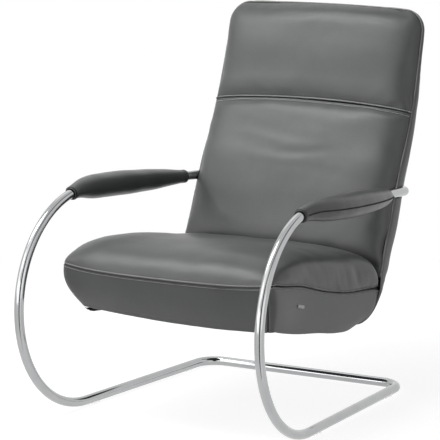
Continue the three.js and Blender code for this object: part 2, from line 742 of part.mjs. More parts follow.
// Place on the rear cover that is level with the cross tube
const clampAcross = (clampX - CLAMP_WIDTH / 2) / BACK_HALF_WIDTH;
const searchShares = Array.from({ length: 1001 }, (_, i) => i / 1000);
const clampShare = searchShares.find((share) => rearPoint(share, clampAcross, 1).z >= crossTubeZ);
const clampPlace = rearPoint(clampShare, clampAcross, 1);
const clampDepth = backSeamPoint(clampShare, clampAcross).distanceTo(clampPlace);
const clampRise = (CROSS_TUBE_Y - clampPlace.y) * Math.sin(BACK_LEAN);

// Moves a piece drawn upright to its place at the rear cover, a given way out from it
function onBack(geometry, x, away) {
  geometry.translate(0, away, clampRise);
  geometry.rotateX(-BACK_LEAN);
  return geometry.translate(x, clampPlace.y, clampPlace.z);
}

function railStations(side) {
  const x = side * RAIL_HALF_SPACING;
  const back = [0.05, 0.12, 0.2, 0.3, 0.4, 0.49, 0.56, 0.64, 0.72, 0.8].map((share) => {
    const point = backSeamPoint(share, 1).addScaledVector(forward, -RAIL_BACK_DEPTH);
    return new THREE.Vector3(x, point.y, point.z);
  });
  const front = new THREE.Vector3(x, RAIL_FRONT_Y, railZ(RAIL_FRONT_Y));
  const corner = new THREE.Vector3(x, RAIL_REAR_Y, railZ(RAIL_REAR_Y));
  return [front, ...bend(front, corner, back[0], RAIL_BEND_RADIUS), ...back];
}

function crossBar(station, lean) {
  const bar = new THREE.BoxGeometry(RAIL_HALF_SPACING * 2, BAR_WIDTH, BAR_THICKNESS);
  bar.rotateX(lean);
  return bar.translate(0, station.y, station.z);
}

// Plate behind the rear cover that the clamps are screwed to, with a web to each rail
function middleBar() {
  const face = -REAR_CROWN - LEATHER * 2;
  const plate = new THREE.BoxGeometry(RAIL_HALF_SPACING * 2, BAR_THICKNESS, MIDDLE_BAR_HEIGHT);
  const webDepth = clampDepth + face - RAIL_BACK_DEPTH;
  const web = new THREE.BoxGeometry(BAR_THICKNESS, webDepth, MIDDLE_BAR_HEIGHT);
  const webs = [-1, 1].map((side) =>
    onBack(web.clone(), side * (RAIL_HALF_SPACING - BAR_THICKNESS / 2), face - webDepth / 2));
  return [onBack(plate, 0, face - BAR_THICKNESS / 2), ...webs];
}

function shellFrame() {
  const section = barShape(BAR_WIDTH, BAR_THICKNESS);
  const [left, right] = [-1, 1].map((side) => sweep(section, railStations(side)));
  const stations = railStations(1);
  const slope = -Math.atan(EDGE_DROP / (EDGE_REAR_Y - EDGE_FRONT_Y));
  const rearBar = new THREE.Vector3(0, EDGE_REAR_Y - BAR_WIDTH, railZ(EDGE_REAR_Y - BAR_WIDTH));
  const frontBar = new THREE.Vector3(0, RAIL_FRONT_Y + BAR_WIDTH / 2, railZ(RAIL_FRONT_Y + BAR_WIDTH / 2));
  const topBar = stations[stations.length - 1];
  const bars = [crossBar(frontBar, slope), crossBar(rearBar, slope), crossBar(topBar, Math.PI / 2 - BACK_LEAN)];
  const welded = join(left, right, ...bars, ...middleBar());
  return cut(welded, ...screwPlaces().map(({ x, up }) => screwShaft(x, up, SCREW_RADIUS + GAP)));
}

// Seat springs and back webbing

function seatSpring(index) {
  const x = (index - (SPRING_COUNT - 1) / 2) * SPRING_SPACING;
  const start = RAIL_FRONT_Y + SPRING_WIRE;
  const end = EDGE_REAR_Y - BAR_WIDTH / 2 - SPRING_WIRE;
  const turns = Math.round((end - start) / SPRING_PITCH);
  const offsets = [0, 1, 1, 0, -1, -1];
  const shares = [0, 0.12, 0.38, 0.5, 0.62, 0.88];
  const stations = [];
  for (let turn = 0; turn < turns; turn += 1) {
    offsets.forEach((offset, i) => {
      const y = start + ((turn + shares[i]) * (end - start)) / turns;
      stations.push(new THREE.Vector3(x + offset * SPRING_AMPLITUDE, y, springZ(y)));
    });
  }
  stations.push(new THREE.Vector3(x, end, springZ(end)));
  return sweep(discShape(SPRING_WIRE / 2, SPRING_SIDES), stations);
}

function backStrap(share) {
  const half = STRAP_WIDTH / BACK_HEIGHT / 2;
  const shares = [-1, 0, 1].map((side) => share + side * half);
  const x = RAIL_HALF_SPACING + BAR_WIDTH / 2;
  const grid = (depth) => shares.map((place) => [-x, x].map((at) => {
    const point = backSeamPoint(place, 0).addScaledVector(forward, -depth);
    return point.setX(at);
  }));
  const face = STRAP_DEPTH;
  return wallBetween(grid(face), grid(face + STRAP_THICKNESS));
}

// Clamps and their screws

const screwSeat = CLAMP_STAND_OFF + CLAMP_WALL + GAP;
const screwLength = screwSeat + REAR_CROWN + LEATHER * 2 + BAR_THICKNESS + SCREW_END;

function screwPlaces() {
  return [-1, 1].flatMap((side) => [-1, 1].map((end) => ({ x: side * clampX, up: (end * SCREW_SPREAD) / 2 })));
}

function screwShaft(x, up, radius) {
  const intoHead = SCREW_HEAD_HEIGHT / 4;
  const shaft = new THREE.CylinderGeometry(radius, radius, screwLength + intoHead, SCREW_SIDES, 1);
  shaft.translate(0, (intoHead - screwLength) / 2, up);
  return onBack(shaft, x, screwSeat);
}

function clampScrew(x, up) {
  const head = new THREE.CylinderGeometry(SCREW_HEAD_RADIUS, SCREW_HEAD_RADIUS, SCREW_HEAD_HEIGHT, SCREW_SIDES, 1);
  head.translate(0, SCREW_HEAD_HEIGHT / 2, up);
  const socket = new THREE.CylinderGeometry(SCREW_RADIUS / 2, SCREW_RADIUS / 2, SCREW_HEAD_HEIGHT, 6, 1);
  socket.translate(0, SCREW_HEAD_HEIGHT, up);
  const body = join(onBack(head, x, screwSeat), screwShaft(x, up, SCREW_RADIUS));
  return cut(body, onBack(socket, x, screwSeat));
}

function clamp(side) {
  const x = side * clampX;
  const away = (CROSS_TUBE_Y - clampPlace.y) * Math.cos(BACK_LEAN);
  const reach = away + TUBE_RADIUS + CLAMP_WALL - CLAMP_STAND_OFF;
  const plate = new THREE.BoxGeometry(CLAMP_WIDTH, CLAMP_WALL, CLAMP_HEIGHT);
  plate.translate(0, CLAMP_WALL / 2, 0);
  const block = new THREE.BoxGeometry(CLAMP_WIDTH, reach, (TUBE_RADIUS + CLAMP_WALL) * 2);
  block.translate(0, reach / 2, 0);
  const body = join(onBack(plate, x, CLAMP_STAND_OFF), onBack(block, x, CLAMP_STAND_OFF));
  const holes = [-1, 1].map((end) => screwShaft(x, (end * SCREW_SPREAD) / 2, SCREW_RADIUS + GAP));
  return cut(body, armSpace, ...holes);
}

// Arm pads

const padWidthShares = smoothTable([
  [0, 0], [0.05, 0.15], [0.14, 0.48], [0.27, 0.82], [0.45, 1], [0.66, 0.95], [0.84, 0.68], [0.95, 0.3], [1, 0],
]);
const padHeightShares = smoothTable([
  [0, 0], [0.05, 0.2], [0.14, 0.55], [0.27, 0.86], [0.45, 1], [0.66, 0.9], [0.84, 0.55], [0.95, 0.18], [1, 0],
]);
const padStationShares = [0, 0.03, 0.09, 0.18, 0.3, 0.45, 0.62, 0.78, 0.9, 0.97, 1];

// Place and directions of the arm's axis at a given distance along the chair
function armAxis(y, side) {
  const onBow = y < armStart.y;
  const angle = onBow ? Math.PI - Math.asin((BOW_CENTRE_Y - y) / BOW_RADIUS) : Math.PI + ARM_FALL;
  const z = onBow ? BOW_CENTRE_Z - BOW_RADIUS * Math.cos(angle) : armZ(y);
  return {
    centre: new THREE.Vector3(side * sideX(y), y, z),
    over: new THREE.Vector3(0, -Math.sin(angle), -Math.cos(angle)),
    out: new THREE.Vector3(side, 0, 0),
  };
}

function padRing(share, side, inset) {
  const { centre, over, out } = armAxis(THREE.MathUtils.lerp(PAD_FRONT_Y, PAD_REAR_Y, share), side);
  const halfWidth = THREE.MathUtils.lerp(PAD_END_RADIUS, PAD_HALF_WIDTH, padWidthShares(share));
  const halfHeight = THREE.MathUtils.lerp(PAD_END_RADIUS, PAD_HALF_HEIGHT, padHeightShares(share));
  const shift = halfWidth - PAD_END_RADIUS;
  const sag = PAD_SAG * padHeightShares(share);
  return Array.from({ length: PAD_SIDES }, (_, i) => {
    const angle = (2 * Math.PI * i) / PAD_SIDES;
    const x = Math.sign(Math.cos(angle)) * Math.abs(Math.cos(angle)) ** (2 / PAD_POWER);
    const z = Math.sign(Math.sin(angle)) * Math.abs(Math.sin(angle)) ** (2 / PAD_POWER);
    return centre.clone()
      .addScaledVector(out, x * (halfWidth - inset) + shift)
      .addScaledVector(over, z * (halfHeight - inset) - sag);
  });
}

function tubeRing(y, side, radius) {
  const { centre, over, out } = armAxis(y, side);
  return Array.from({ length: PAD_SIDES }, (_, i) => {
    const angle = (2 * Math.PI * i) / PAD_SIDES;
    return centre.clone()
      .addScaledVector(out, radius * Math.cos(angle))
      .addScaledVector(over, radius * Math.sin(angle));
  });
}

// Body inside a row of rings, closed at both ends
function lofted(rings) {
  const ends = [rings[0], rings[rings.length - 1]].map((ring) => {
    const middle = ring.reduce((sum, point) => sum.add(point), new THREE.Vector3()).divideScalar(ring.length);
    return ring.map(() => middle);
  });
  return clean(closedRings([ends[0], ...rings, ends[1]]));
}

function padCover(side) {
  const outer = padStationShares.map((share) => padRing(share, side, 0));
  const inner = padStationShares.map((share) => padRing(share, side, PAD_LEATHER));
  return closedRings([...outer, ...inner.reverse()]);
}

function padFoam(side) {
  return cut(lofted(padStationShares.map((share) => padRing(share, side, PAD_LEATHER + GAP * 2))), armSpace);
}

function padCuff(end, side) {
  const start = end < 0 ? PAD_FRONT_Y - GAP - CUFF_LENGTH : PAD_REAR_Y + GAP;
  return cut(lofted([0, CUFF_LENGTH].map((along) => tubeRing(start + along, side, PAD_END_RADIUS))), armSpace);
}

// Assembly

function sides(build) {
  return [build('right', 1), build('left', -1)].flat();
}

function frameGroup() {
  const tubes = tubeFrame();
  const group = new THREE.Group();
  group.add(piece('base_frame', tubes.base, steel), piece('arm_frame', tubes.arms, steel));
  group.add(...sides((name, side) => [
    piece(`front_glide_${name}`, glide(BOW_CENTRE_Y + GLIDE_FRONT_INSET, side), plastic),
    piece(`rear_glide_${name}`, glide(FRAME_REAR_Y - GLIDE_REAR_INSET, side), plastic),
  ]));
  return group;
}

function seatGroup() {
  const group = new THREE.Group();
  group.add(
    piece('seat_cover', seatCover(), leather),
    piece('seat_foam', seatFoam(), foam),
    piece('seat_border', seatBorder(), leather),
    piece('seat_tag', blankTag(), tagCloth),
    piece('dust_cover', dustCover(), blackCloth));
  for (let i = 0; i < SPRING_COUNT; i += 1) {
    group.add(piece(`seat_spring_${i + 1}`, seatSpring(i), darkSteel));
  }
  return group;
}

function backGroup() {
  // The arm tubes press a dent into each side of the back
  const dents = spaceAround(armStations(), ARM_DENT_CLEARANCE);
  const screwHoles = screwPlaces().map(({ x, up }) => screwShaft(x, up, SCREW_RADIUS + GAP));
  const group = new THREE.Group();
  group.add(
    piece('back_cover', cut(backCover(belowSeam), dents), leather),
    piece('headrest_cover', backCover(aboveSeam), leather),
    piece('back_foam', cut(backFoam(belowSeam), dents), foam),
    piece('headrest_foam', backFoam(aboveSeam), foam),
    piece('rear_cover', cut(rearCover(), dents, ...screwHoles), leather),
    piece('shell_frame', shellFrame(), darkSteel));
  [0.19, 0.46, 0.6, 0.72].forEach((share, i) => {
    group.add(piece(`back_strap_${i + 1}`, backStrap(share), blackCloth));
  });
  group.add(...sides((name, side) => piece(`clamp_${name}`, clamp(side), darkSteel)));
  screwPlaces().forEach(({ x, up }, i) => {
    group.add(piece(`clamp_screw_${i + 1}`, clampScrew(x, up), darkSteel));
  });
  return group;
}

function padGroup() {
  const group = new THREE.Group();
  group.add(...sides((name, side) => [
    piece(`arm_pad_cover_${name}`, padCover(side), leather),
    piece(`arm_pad_foam_${name}`, padFoam(side), foam),
    piece(`arm_pad_front_cuff_${name}`, padCuff(-1, side), leather),
    piece(`arm_pad_rear_cuff_${name}`, padCuff(1, side), leather),
  ]));
  return group;
}

const chair = new THREE.Group();
chair.add(frameGroup(), seatGroup(), backGroup(), padGroup());

// The origin is the middle of the footprint, on the floor
const box = new THREE.Box3().setFromObject(chair);
const centre = box.getCenter(new THREE.Vector3());
chair.position.set(-centre.x, -centre.y, -box.min.z);

export default chair;
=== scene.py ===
"""Looks of a leather lounge chair that hangs in one bent steel tube."""

import logging
import math
from dataclasses import dataclass, field
from enum import Enum
from typing import Any, Sequence

import bpy
import numpy as np
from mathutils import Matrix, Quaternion, Vector


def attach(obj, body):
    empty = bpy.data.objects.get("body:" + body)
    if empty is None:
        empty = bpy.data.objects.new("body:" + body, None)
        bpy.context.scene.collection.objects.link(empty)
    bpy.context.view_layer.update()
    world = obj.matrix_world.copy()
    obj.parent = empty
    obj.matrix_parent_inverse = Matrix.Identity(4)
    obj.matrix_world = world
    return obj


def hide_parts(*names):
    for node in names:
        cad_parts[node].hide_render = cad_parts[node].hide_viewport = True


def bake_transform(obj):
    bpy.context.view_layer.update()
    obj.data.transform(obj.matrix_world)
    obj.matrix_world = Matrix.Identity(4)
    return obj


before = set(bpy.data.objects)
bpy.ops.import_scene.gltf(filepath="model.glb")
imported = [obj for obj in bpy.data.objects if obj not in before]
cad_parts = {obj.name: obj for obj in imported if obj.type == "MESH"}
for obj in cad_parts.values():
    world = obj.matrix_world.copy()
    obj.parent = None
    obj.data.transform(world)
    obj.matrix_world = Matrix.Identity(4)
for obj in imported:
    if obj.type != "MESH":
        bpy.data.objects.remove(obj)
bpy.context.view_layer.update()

LOG = logging.getLogger("lounge_chair")
MM = 0.001
# The source draws the chair round its own zero; the frame is centred, which moves it back by this much
CENTRING_Y = 30.52
TINY = 1e-9


def to_frame(points: np.ndarray) -> np.ndarray:
    """Turns the drawing's millimetres into the frame's centred metres.

    Args:
        points: Places in the drawing, in millimetres, with three numbers on the last axis.

    Returns:
        The same places in the frame, in metres.
    """
    return (np.asarray(points, float) + (0.0, CENTRING_Y, 0.0)) * MM


# Curves and surfaces


class ShareCurve:
    """A smooth curve through stated pairs that never passes beyond them."""

    def __init__(self, *pairs: tuple[float, float]) -> None:
        """Finds the slope at each pair.

        Args:
            pairs: Place and value of each point, in rising order of place.
        """
        self.places, self.values = np.array(pairs, float).T
        steps = np.diff(self.values) / np.diff(self.places)
        before, after = steps[:-1], steps[1:]
        total = np.where(before + after == 0, 1, before + after)
        inner = np.where(before * after > 0, 2 * before * after / total, 0)
        self.slopes = np.concatenate([steps[:1], inner, steps[-1:]])

    def __call__(self, place: float | np.ndarray) -> np.ndarray:
        """Reads the curve.

        Args:
            place: One place or an array of them.

        Returns:
            The values there.
        """
        place = np.clip(np.asarray(place, float), self.places[0], self.places[-1])
        i = np.clip(np.searchsorted(self.places, place, side="right") - 1, 0, len(self.places) - 2)
        width = self.places[i + 1] - self.places[i]
        t = (place - self.places[i]) / width
        rise = (1 + 2 * t) * (1 - t) ** 2 * self.values[i] + t * t * (3 - 2 * t) * self.values[i + 1]
        return rise + width * t * (1 - t) * ((1 - t) * self.slopes[i] - t * self.slopes[i + 1])


def section(power: float, count: int = 140) -> tuple[np.ndarray, np.ndarray]:
    """Half a rounded section from rim to rim, with points close together all along.

    Args:
        power: How square the section is; 2 is a half ellipse.
        count: Points on each flank and each half of the crown.

    Returns:
        How far across each point is, from -1 to 1, and how full the section is there, from 0 to 1.
    """
    even = np.linspace(0, 1, count) ** (power / 2)
    half = np.unique(np.concatenate([np.arcsin(even), np.arccos(even)]))
    angles = np.concatenate([-half[:0:-1], half])
    across = np.sign(angles) * np.abs(np.sin(angles)) ** (2 / power)
    fullness = np.abs(np.cos(angles)) ** (2 / power)
    fullness[[0, -1]] = 0.0
    return across, fullness


def lengths_along(points: np.ndarray) -> np.ndarray:
    """Distance of each point from the first, along a line of points.

    Args:
        points: The line's points, one in each row.

    Returns:
        One distance for each point.
    """
    steps = np.linalg.norm(np.diff(points, axis=0), axis=-1)
    return np.concatenate([np.zeros_like(steps[:1]), np.cumsum(steps, axis=0)])


def at_lengths(line: np.ndarray, wanted: np.ndarray, measured: int = 3) -> np.ndarray:
    """Points at given distances along a line.

    Args:
        line: The line's points; columns past the measured ones are carried along.
        wanted: Distances from its first point.
        measured: How many columns are coordinates.

    Returns:
        One row for each wanted distance.
    """
    places = lengths_along(line[:, :measured])
    return np.stack([np.interp(wanted, places, column) for column in line.T], axis=1)


@dataclass(frozen=True)
class Marks:
    """Where a skin gets its points: close together near each end, and evenly between.

    Attributes:
        near: Distances from an end, from 0 up.
        middle: How many more lie between the two groups.
    """

    near: tuple[float, ...] = (0, 0.5, 1.1, 1.9, 3, 4, 4.8, 5.5, 6.3, 7.6, 9.4, 12, 16, 21, 27)
    middle: int = 60

    def on(self, length: float) -> np.ndarray:
        """Places the marks on a line.

        Args:
            length: How long the line is.

        Returns:
            Distances from its start.
        """
        near = np.array(self.near, float) * min(1.0, length / (3 * self.near[-1]))
        between = np.linspace(near[-1], length - near[-1], self.middle + 2)[1:-1]
        return np.concatenate([near, between, length - near[::-1]])


class Rim(Enum):
    """The four rims of a skin: its first and last row, and its first and last column."""

    FIRST_ROW = (0, 0)
    LAST_ROW = (0, -1)
    FIRST_COLUMN = (1, 0)
    LAST_COLUMN = (1, -1)


def ripples(points: np.ndarray, shortest: float, longest: float, seed: int, stretch: Sequence[float] = (1, 1, 1)) -> np.ndarray:
    """Soft random waves over places in space.

    Args:
        points: Places, in millimetres.
        shortest: The shortest wave.
        longest: The longest wave.
        seed: Which waves; the same number gives the same ones.
        stretch: How much longer the waves are along each axis.

    Returns:
        A height for each place, mostly from -1 to 1.
    """
    count = 28
    draw = np.random.default_rng(seed)
    ways = draw.normal(size=(count, 3))
    ways /= np.linalg.norm(ways, axis=1, keepdims=True)
    waves = draw.uniform(shortest, longest, count)
    starts = draw.uniform(0, 2 * math.pi, count)
    turns = (points / np.array(stretch, float)) @ (ways * (2 * math.pi / waves[:, None])).T + starts
    return np.cos(turns).sum(axis=-1) / math.sqrt(count / 2) / 1.6


@dataclass
class Skin:
    """Rows and columns of points over a piece of upholstery.

    Attributes:
        points: The places, by row and column, in millimetres.
        outward: 1 where columns times rows points out of the piece, or -1.
        seam: How deep each point lies in a seam, from 0 to 1; the leather paints shade by it.
    """

    points: np.ndarray
    outward: float = 1.0
    seam: np.ndarray = field(default=None)

    def __post_init__(self) -> None:
        """Starts with no seam anywhere."""
        if self.seam is None:
            self.seam = np.zeros(self.points.shape[:2])

    def along(self, axis: int) -> np.ndarray:
        """Distance of each point from the first row (axis 0) or the first column (axis 1)."""
        lines = self.points if axis == 0 else self.points.transpose(1, 0, 2)
        found = lengths_along(lines)
        return found if axis == 0 else found.T

    def from_rim(self, rim: Rim) -> np.ndarray:
        """Distance of each point from a rim, measured over the skin."""
        axis, end = rim.value
        found = self.along(axis)
        last = np.take(found, [-1], axis=axis)
        return found if end == 0 else last - found

    def normals(self) -> np.ndarray:
        """Outward direction at each point."""
        found = self.outward * np.cross(np.gradient(self.points, axis=1), np.gradient(self.points, axis=0))
        # A corner on a round outline is flat, so it takes its neighbour's direction
        for rows, row in ((slice(0, 3), 3), (slice(-3, None), -4)):
            for columns, column in ((slice(0, 3), 3), (slice(-3, None), -4)):
                found[rows, columns] = found[row, column]
        return found / np.maximum(np.linalg.norm(found, axis=-1, keepdims=True), TINY)

    def push(self, height: np.ndarray) -> None:
        """Moves each point outwards by its own height."""
        self.points = self.points + self.normals() * height[..., None]

    def seam_at(self, rims: Sequence[Rim], roll: float, stitch: float, pucker: float, seed: int,
                dark: float = 1.0, ridge: float = 0.0) -> None:
        """Turns the leather in at a seam, with a stitched line beside it and small puckers.

        Args:
            rims: The rims that are sewn.
            roll: Radius of the turned edge.
            stitch: How far the stitched line is from the seam.
            pucker: Height of the puckers.
            seed: Which puckers.
            dark: How strongly shade is painted at the bottom of the seam.
            ridge: How far the folded allowance stands up between the seam and the stitched line.
        """
        height = np.zeros(self.points.shape[:2])
        for i, rim in enumerate(rims):
            away = self.from_rim(rim)
            run = self.along(1 - rim.value[0])
            inside = np.clip(roll - away, 0, roll)
            turned = roll - np.sqrt(np.maximum(roll**2 - inside**2, 0))
            pull = 0.7 * np.exp(-(((away - stitch - 0.3) / 1.1) ** 2))
            pull -= ridge * np.clip(away / roll, 0, 1) / (1 + np.exp(np.minimum((away - stitch + 0.9) / 0.35, 60)))
            line = np.stack([run, away * 0.15, np.full_like(run, 100.0 * i)], axis=-1)
            waves = ripples(line, 9, 26, seed + i) * np.exp(-away / 11) * (1 - np.exp(-away / 2))
            height = np.minimum(height, -turned) - pull + pucker * waves
            # Paints shade into the bottom of the seam, as a darker colour.
            self.seam = np.maximum(self.seam, dark * np.exp(-((away / (0.62 * roll)) ** 3)))
        self.push(height)

    def cut(self) -> dict[str, Any]:
        """The piece that this skin is cut from: its greatest width and length, and its area, in metres."""
        size = tuple(float(self.along(axis).max()) * MM for axis in (0, 1))
        across = self.points[1:, 1:] - self.points[:-1, :-1]
        over = self.points[1:, :-1] - self.points[:-1, 1:]
        area = float(np.linalg.norm(np.cross(across, over), axis=-1).sum()) / 2 * MM**2
        return {"flat": size, "area": area}

    def line(self, rim: Rim, distance: float) -> tuple[np.ndarray, np.ndarray]:
        """A line over the skin beside a rim.

        Args:
            rim: The rim that it follows.
            distance: How far from the rim.

        Returns:
            The line's points and the outward direction at each.
        """
        axis, end = rim.value
        both = np.concatenate([self.points, self.normals()], axis=-1)
        lines = both.transpose(1, 0, 2) if axis == 0 else both
        found = np.array([at_lengths(row[::-1] if end else row, np.array([distance]))[0] for row in lines])
        return found[:, :3], found[:, 3:]


# Cloth


@dataclass(frozen=True)
class Stuffing:
    """How a cushion's leather is blown out over its filling by the Cloth simulation.

    Attributes:
        pressure: Pressure of the filling.
        cap: The furthest that a point may move.
        spare: How much longer the leather is than the filling, as a share.
        spacing: Distance between the points that are simulated.
        steps: How many steps are run.
        hold: How firmly the filling holds the leather, from 0 to 1.
    """

    pressure: float = 4.0
    cap: float = 7.0
    spare: float = 0.012
    spacing: float = 8.5
    steps: int = 20
    hold: float = 0.12

    def relief(self, skin: Skin, under: np.ndarray) -> np.ndarray:
        """Simulates a coarser copy of a cushion and reads how its leather moved.

        Args:
            skin: The cushion's skin.
            under: The points under it.

        Returns:
            How far each point of the skin moves, by row and column.
        """
        rows, columns = skin.points.shape[:2]
        down, along = skin.along(0)[:, columns // 2], skin.along(1)[rows // 2]
        row_at = np.interp(np.linspace(0, down[-1], int(down[-1] / self.spacing)), down, np.arange(rows))
        column_at = np.interp(np.linspace(0, along[-1], int(along[-1] / self.spacing)), along, np.arange(columns))
        top, low = between(skin.points, row_at, column_at), between(under, row_at, column_at)
        coarse = pillow("cloth_form", Skin(top, skin.outward), low)
        count = top.shape[0] * top.shape[1]
        held = np.full(top.shape[:2], self.hold)
        held[[0, -1]] = held[:, [0, -1]] = 1.0
        pins = coarse.vertex_groups.new(name="held")
        for number, weight in enumerate(np.concatenate([held.ravel(), np.ones(count)])):
            pins.add([number], float(weight), "REPLACE")
        cloth = coarse.modifiers.new("leather", "CLOTH")
        values = cloth.settings
        values.quality, values.mass, values.pin_stiffness = 5, 0.35, 1.0
        values.tension_stiffness = values.compression_stiffness = 18.0
        values.shear_stiffness, values.bending_stiffness = 6.0, 0.6
        values.vertex_group_mass, values.use_pressure = "held", True
        values.uniform_pressure_force, values.shrink_min = self.pressure, -self.spare
        values.effector_weights.gravity = 0.0
        cloth.collision_settings.use_collision = False
        for step in range(1, self.steps + 1):
            bpy.context.scene.frame_set(step)
        pick(coarse)
        bpy.ops.object.modifier_apply(modifier=cloth.name)
        bpy.context.scene.frame_set(1)
        found = np.array([v.co for v in coarse.data.vertices][:count]) / MM - (0.0, CENTRING_Y, 0.0)
        bpy.data.objects.remove(coarse)
        moved = found.reshape(top.shape) - top
        size = np.linalg.norm(moved, axis=-1, keepdims=True)
        moved *= np.tanh(size / self.cap) * self.cap / np.maximum(size, TINY)
        LOG.info("cloth moved %.1f mm at most, %.1f mm on average", size.max(), size.mean())
        back = between(moved, np.interp(np.arange(rows), row_at, np.arange(len(row_at))),
                       np.interp(np.arange(columns), column_at, np.arange(len(column_at))))
        return smoothed(back, 3)


def between(grid: np.ndarray, row_at: np.ndarray, column_at: np.ndarray) -> np.ndarray:
    """Reads a grid of points between its rows and columns.

    Args:
        grid: The grid.
        row_at: Wanted rows, which need not be whole.
        column_at: Wanted columns.

    Returns:
        The points there.
    """
    r = np.minimum(row_at.astype(int), grid.shape[0] - 2)
    c = np.minimum(column_at.astype(int), grid.shape[1] - 2)
    u, v = (row_at - r)[:, None, None], (column_at - c)[None, :, None]
    near = grid[r][:, c] * (1 - v) + grid[r][:, c + 1] * v
    far = grid[r + 1][:, c] * (1 - v) + grid[r + 1][:, c + 1] * v
    return near * (1 - u) + far * u


def smoothed(grid: np.ndarray, times: int) -> np.ndarray:
    """Evens a grid of values out and keeps its rims.

    Args:
        grid: The grid.
        times: How many passes.

    Returns:
        The smoother grid.
    """
    grid = grid.copy()
    for _ in range(times):
        sides = grid[:-2, 1:-1] + grid[2:, 1:-1] + grid[1:-1, :-2] + grid[1:-1, 2:]
        grid[1:-1, 1:-1] = grid[1:-1, 1:-1] / 2 + sides / 8
    return grid


# Meshes


def deselect_all() -> None:
    """Leaves nothing selected, as every operator acts on all that is."""
    bpy.ops.object.select_all(action="DESELECT")


def pick(piece: bpy.types.Object) -> None:
    """Makes one object the selected and active one."""
    deselect_all()
    piece.select_set(True)
    bpy.context.view_layer.objects.active = piece


def face_out(piece: bpy.types.Object) -> None:
    """Points all faces of a closed piece outwards."""
    pick(piece)
    bpy.ops.object.mode_set(mode="EDIT")
    bpy.ops.mesh.select_all(action="SELECT")
    bpy.ops.mesh.normals_make_consistent(inside=False)
    bpy.ops.object.mode_set(mode="OBJECT")


def mesh_piece(name: str, points: np.ndarray, faces: Sequence[Sequence[int]], values: dict[str, np.ndarray] | None = None) -> bpy.types.Object:
    """Makes an object from points and faces, smooth all over.

    Args:
        name: The piece's name.
        points: Its points in the drawing, in millimetres.
        faces: The faces, as rows of point numbers.
        values: Numbers kept at each point for the materials to read, by name.

    Returns:
        The new object, with its place in its mesh.
    """
    mesh = bpy.data.meshes.new(name)
    mesh.from_pydata(to_frame(points).tolist(), [], [list(f) for f in faces])
    mesh.polygons.foreach_set("use_smooth", np.ones(len(mesh.polygons), bool))
    for key, found in (values or {}).items():
        kept = mesh.attributes.new(key, "FLOAT", "POINT")
        kept.data.foreach_set("value", np.asarray(found, np.float32).ravel())
    piece = bpy.data.objects.new(name, mesh)
    bpy.context.scene.collection.objects.link(piece)
    return piece


def grid_faces(rows: int, columns: int, start: int = 0, round_rows: bool = False, round_columns: bool = False) -> list[tuple[int, int, int, int]]:
    """Faces over a grid of points.

    Args:
        rows: How many rows.
        columns: How many columns.
        start: Number of the grid's first point.
        round_rows: Whether the last row joins the first.
        round_columns: Whether the last column joins the first.

    Returns:
        One row of four point numbers for each face.
    """
    def point(r: int, c: int) -> int:
        """Number of the point at a row and column."""
        return start + (r % rows) * columns + (c % columns)

    last_row, last_column = rows - (not round_rows), columns - (not round_columns)
    return [
        (point(r, c), point(r, c + 1), point(r + 1, c + 1), point(r + 1, c))
        for r in range(last_row)
        for c in range(last_column)
    ]


def pillow(name: str, skin: Skin, under: np.ndarray) -> bpy.types.Object:
    """A closed cushion from its skin and the points under it.

    Args:
        name: The piece's name.
        skin: The skin that shows.
        under: The underside, with a point for each point of the skin.

    Returns:
        The cushion.
    """
    rows, columns = skin.points.shape[:2]
    count = rows * columns
    rim = [(r, 0) for r in range(rows)] + [(rows - 1, c) for c in range(1, columns)]
    rim += [(r, columns - 1) for r in range(rows - 2, -1, -1)] + [(0, c) for c in range(columns - 2, 0, -1)]
    edge = [r * columns + c for r, c in rim]
    wall = [(a, b, b + count, a + count) for a, b in zip(edge, edge[1:] + edge[:1])]
    faces = grid_faces(rows, columns) + grid_faces(rows, columns, count) + wall
    points = np.concatenate([skin.points.reshape(-1, 3), under.reshape(-1, 3)])
    # The underside is painted fully shaded, with the darkest seam colour.
    piece = mesh_piece(name, points, faces, {"seam": np.concatenate([skin.seam.ravel(), np.ones(count)])})
    face_out(piece)
    return piece


def modifier_done(piece: bpy.types.Object, kind: str, **settings: Any) -> None:
    """Adds a modifier to a piece and applies it.

    Args:
        piece: The piece.
        kind: The modifier's type.
        settings: Its settings by name.
    """
    pick(piece)
    made = piece.modifiers.new(kind.lower(), kind)
    for key, value in settings.items():
        setattr(made, key, value)
    bpy.ops.object.modifier_apply(modifier=made.name)


def leather_sheet(name: str, skin: Skin, thickness: float) -> bpy.types.Object:
    """An open skin with a wall behind it.

    Args:
        name: The piece's name.
        skin: The skin that shows.
        thickness: How thick the wall is.

    Returns:
        The closed wall.
    """
    faces = grid_faces(*skin.points.shape[:2])
    if skin.outward < 0:
        faces = [f[::-1] for f in faces]
    piece = mesh_piece(name, skin.points.reshape(-1, 3), faces, {"seam": skin.seam})
    modifier_done(piece, "SOLIDIFY", thickness=thickness * MM, offset=-1.0)
    return piece


# Finishes


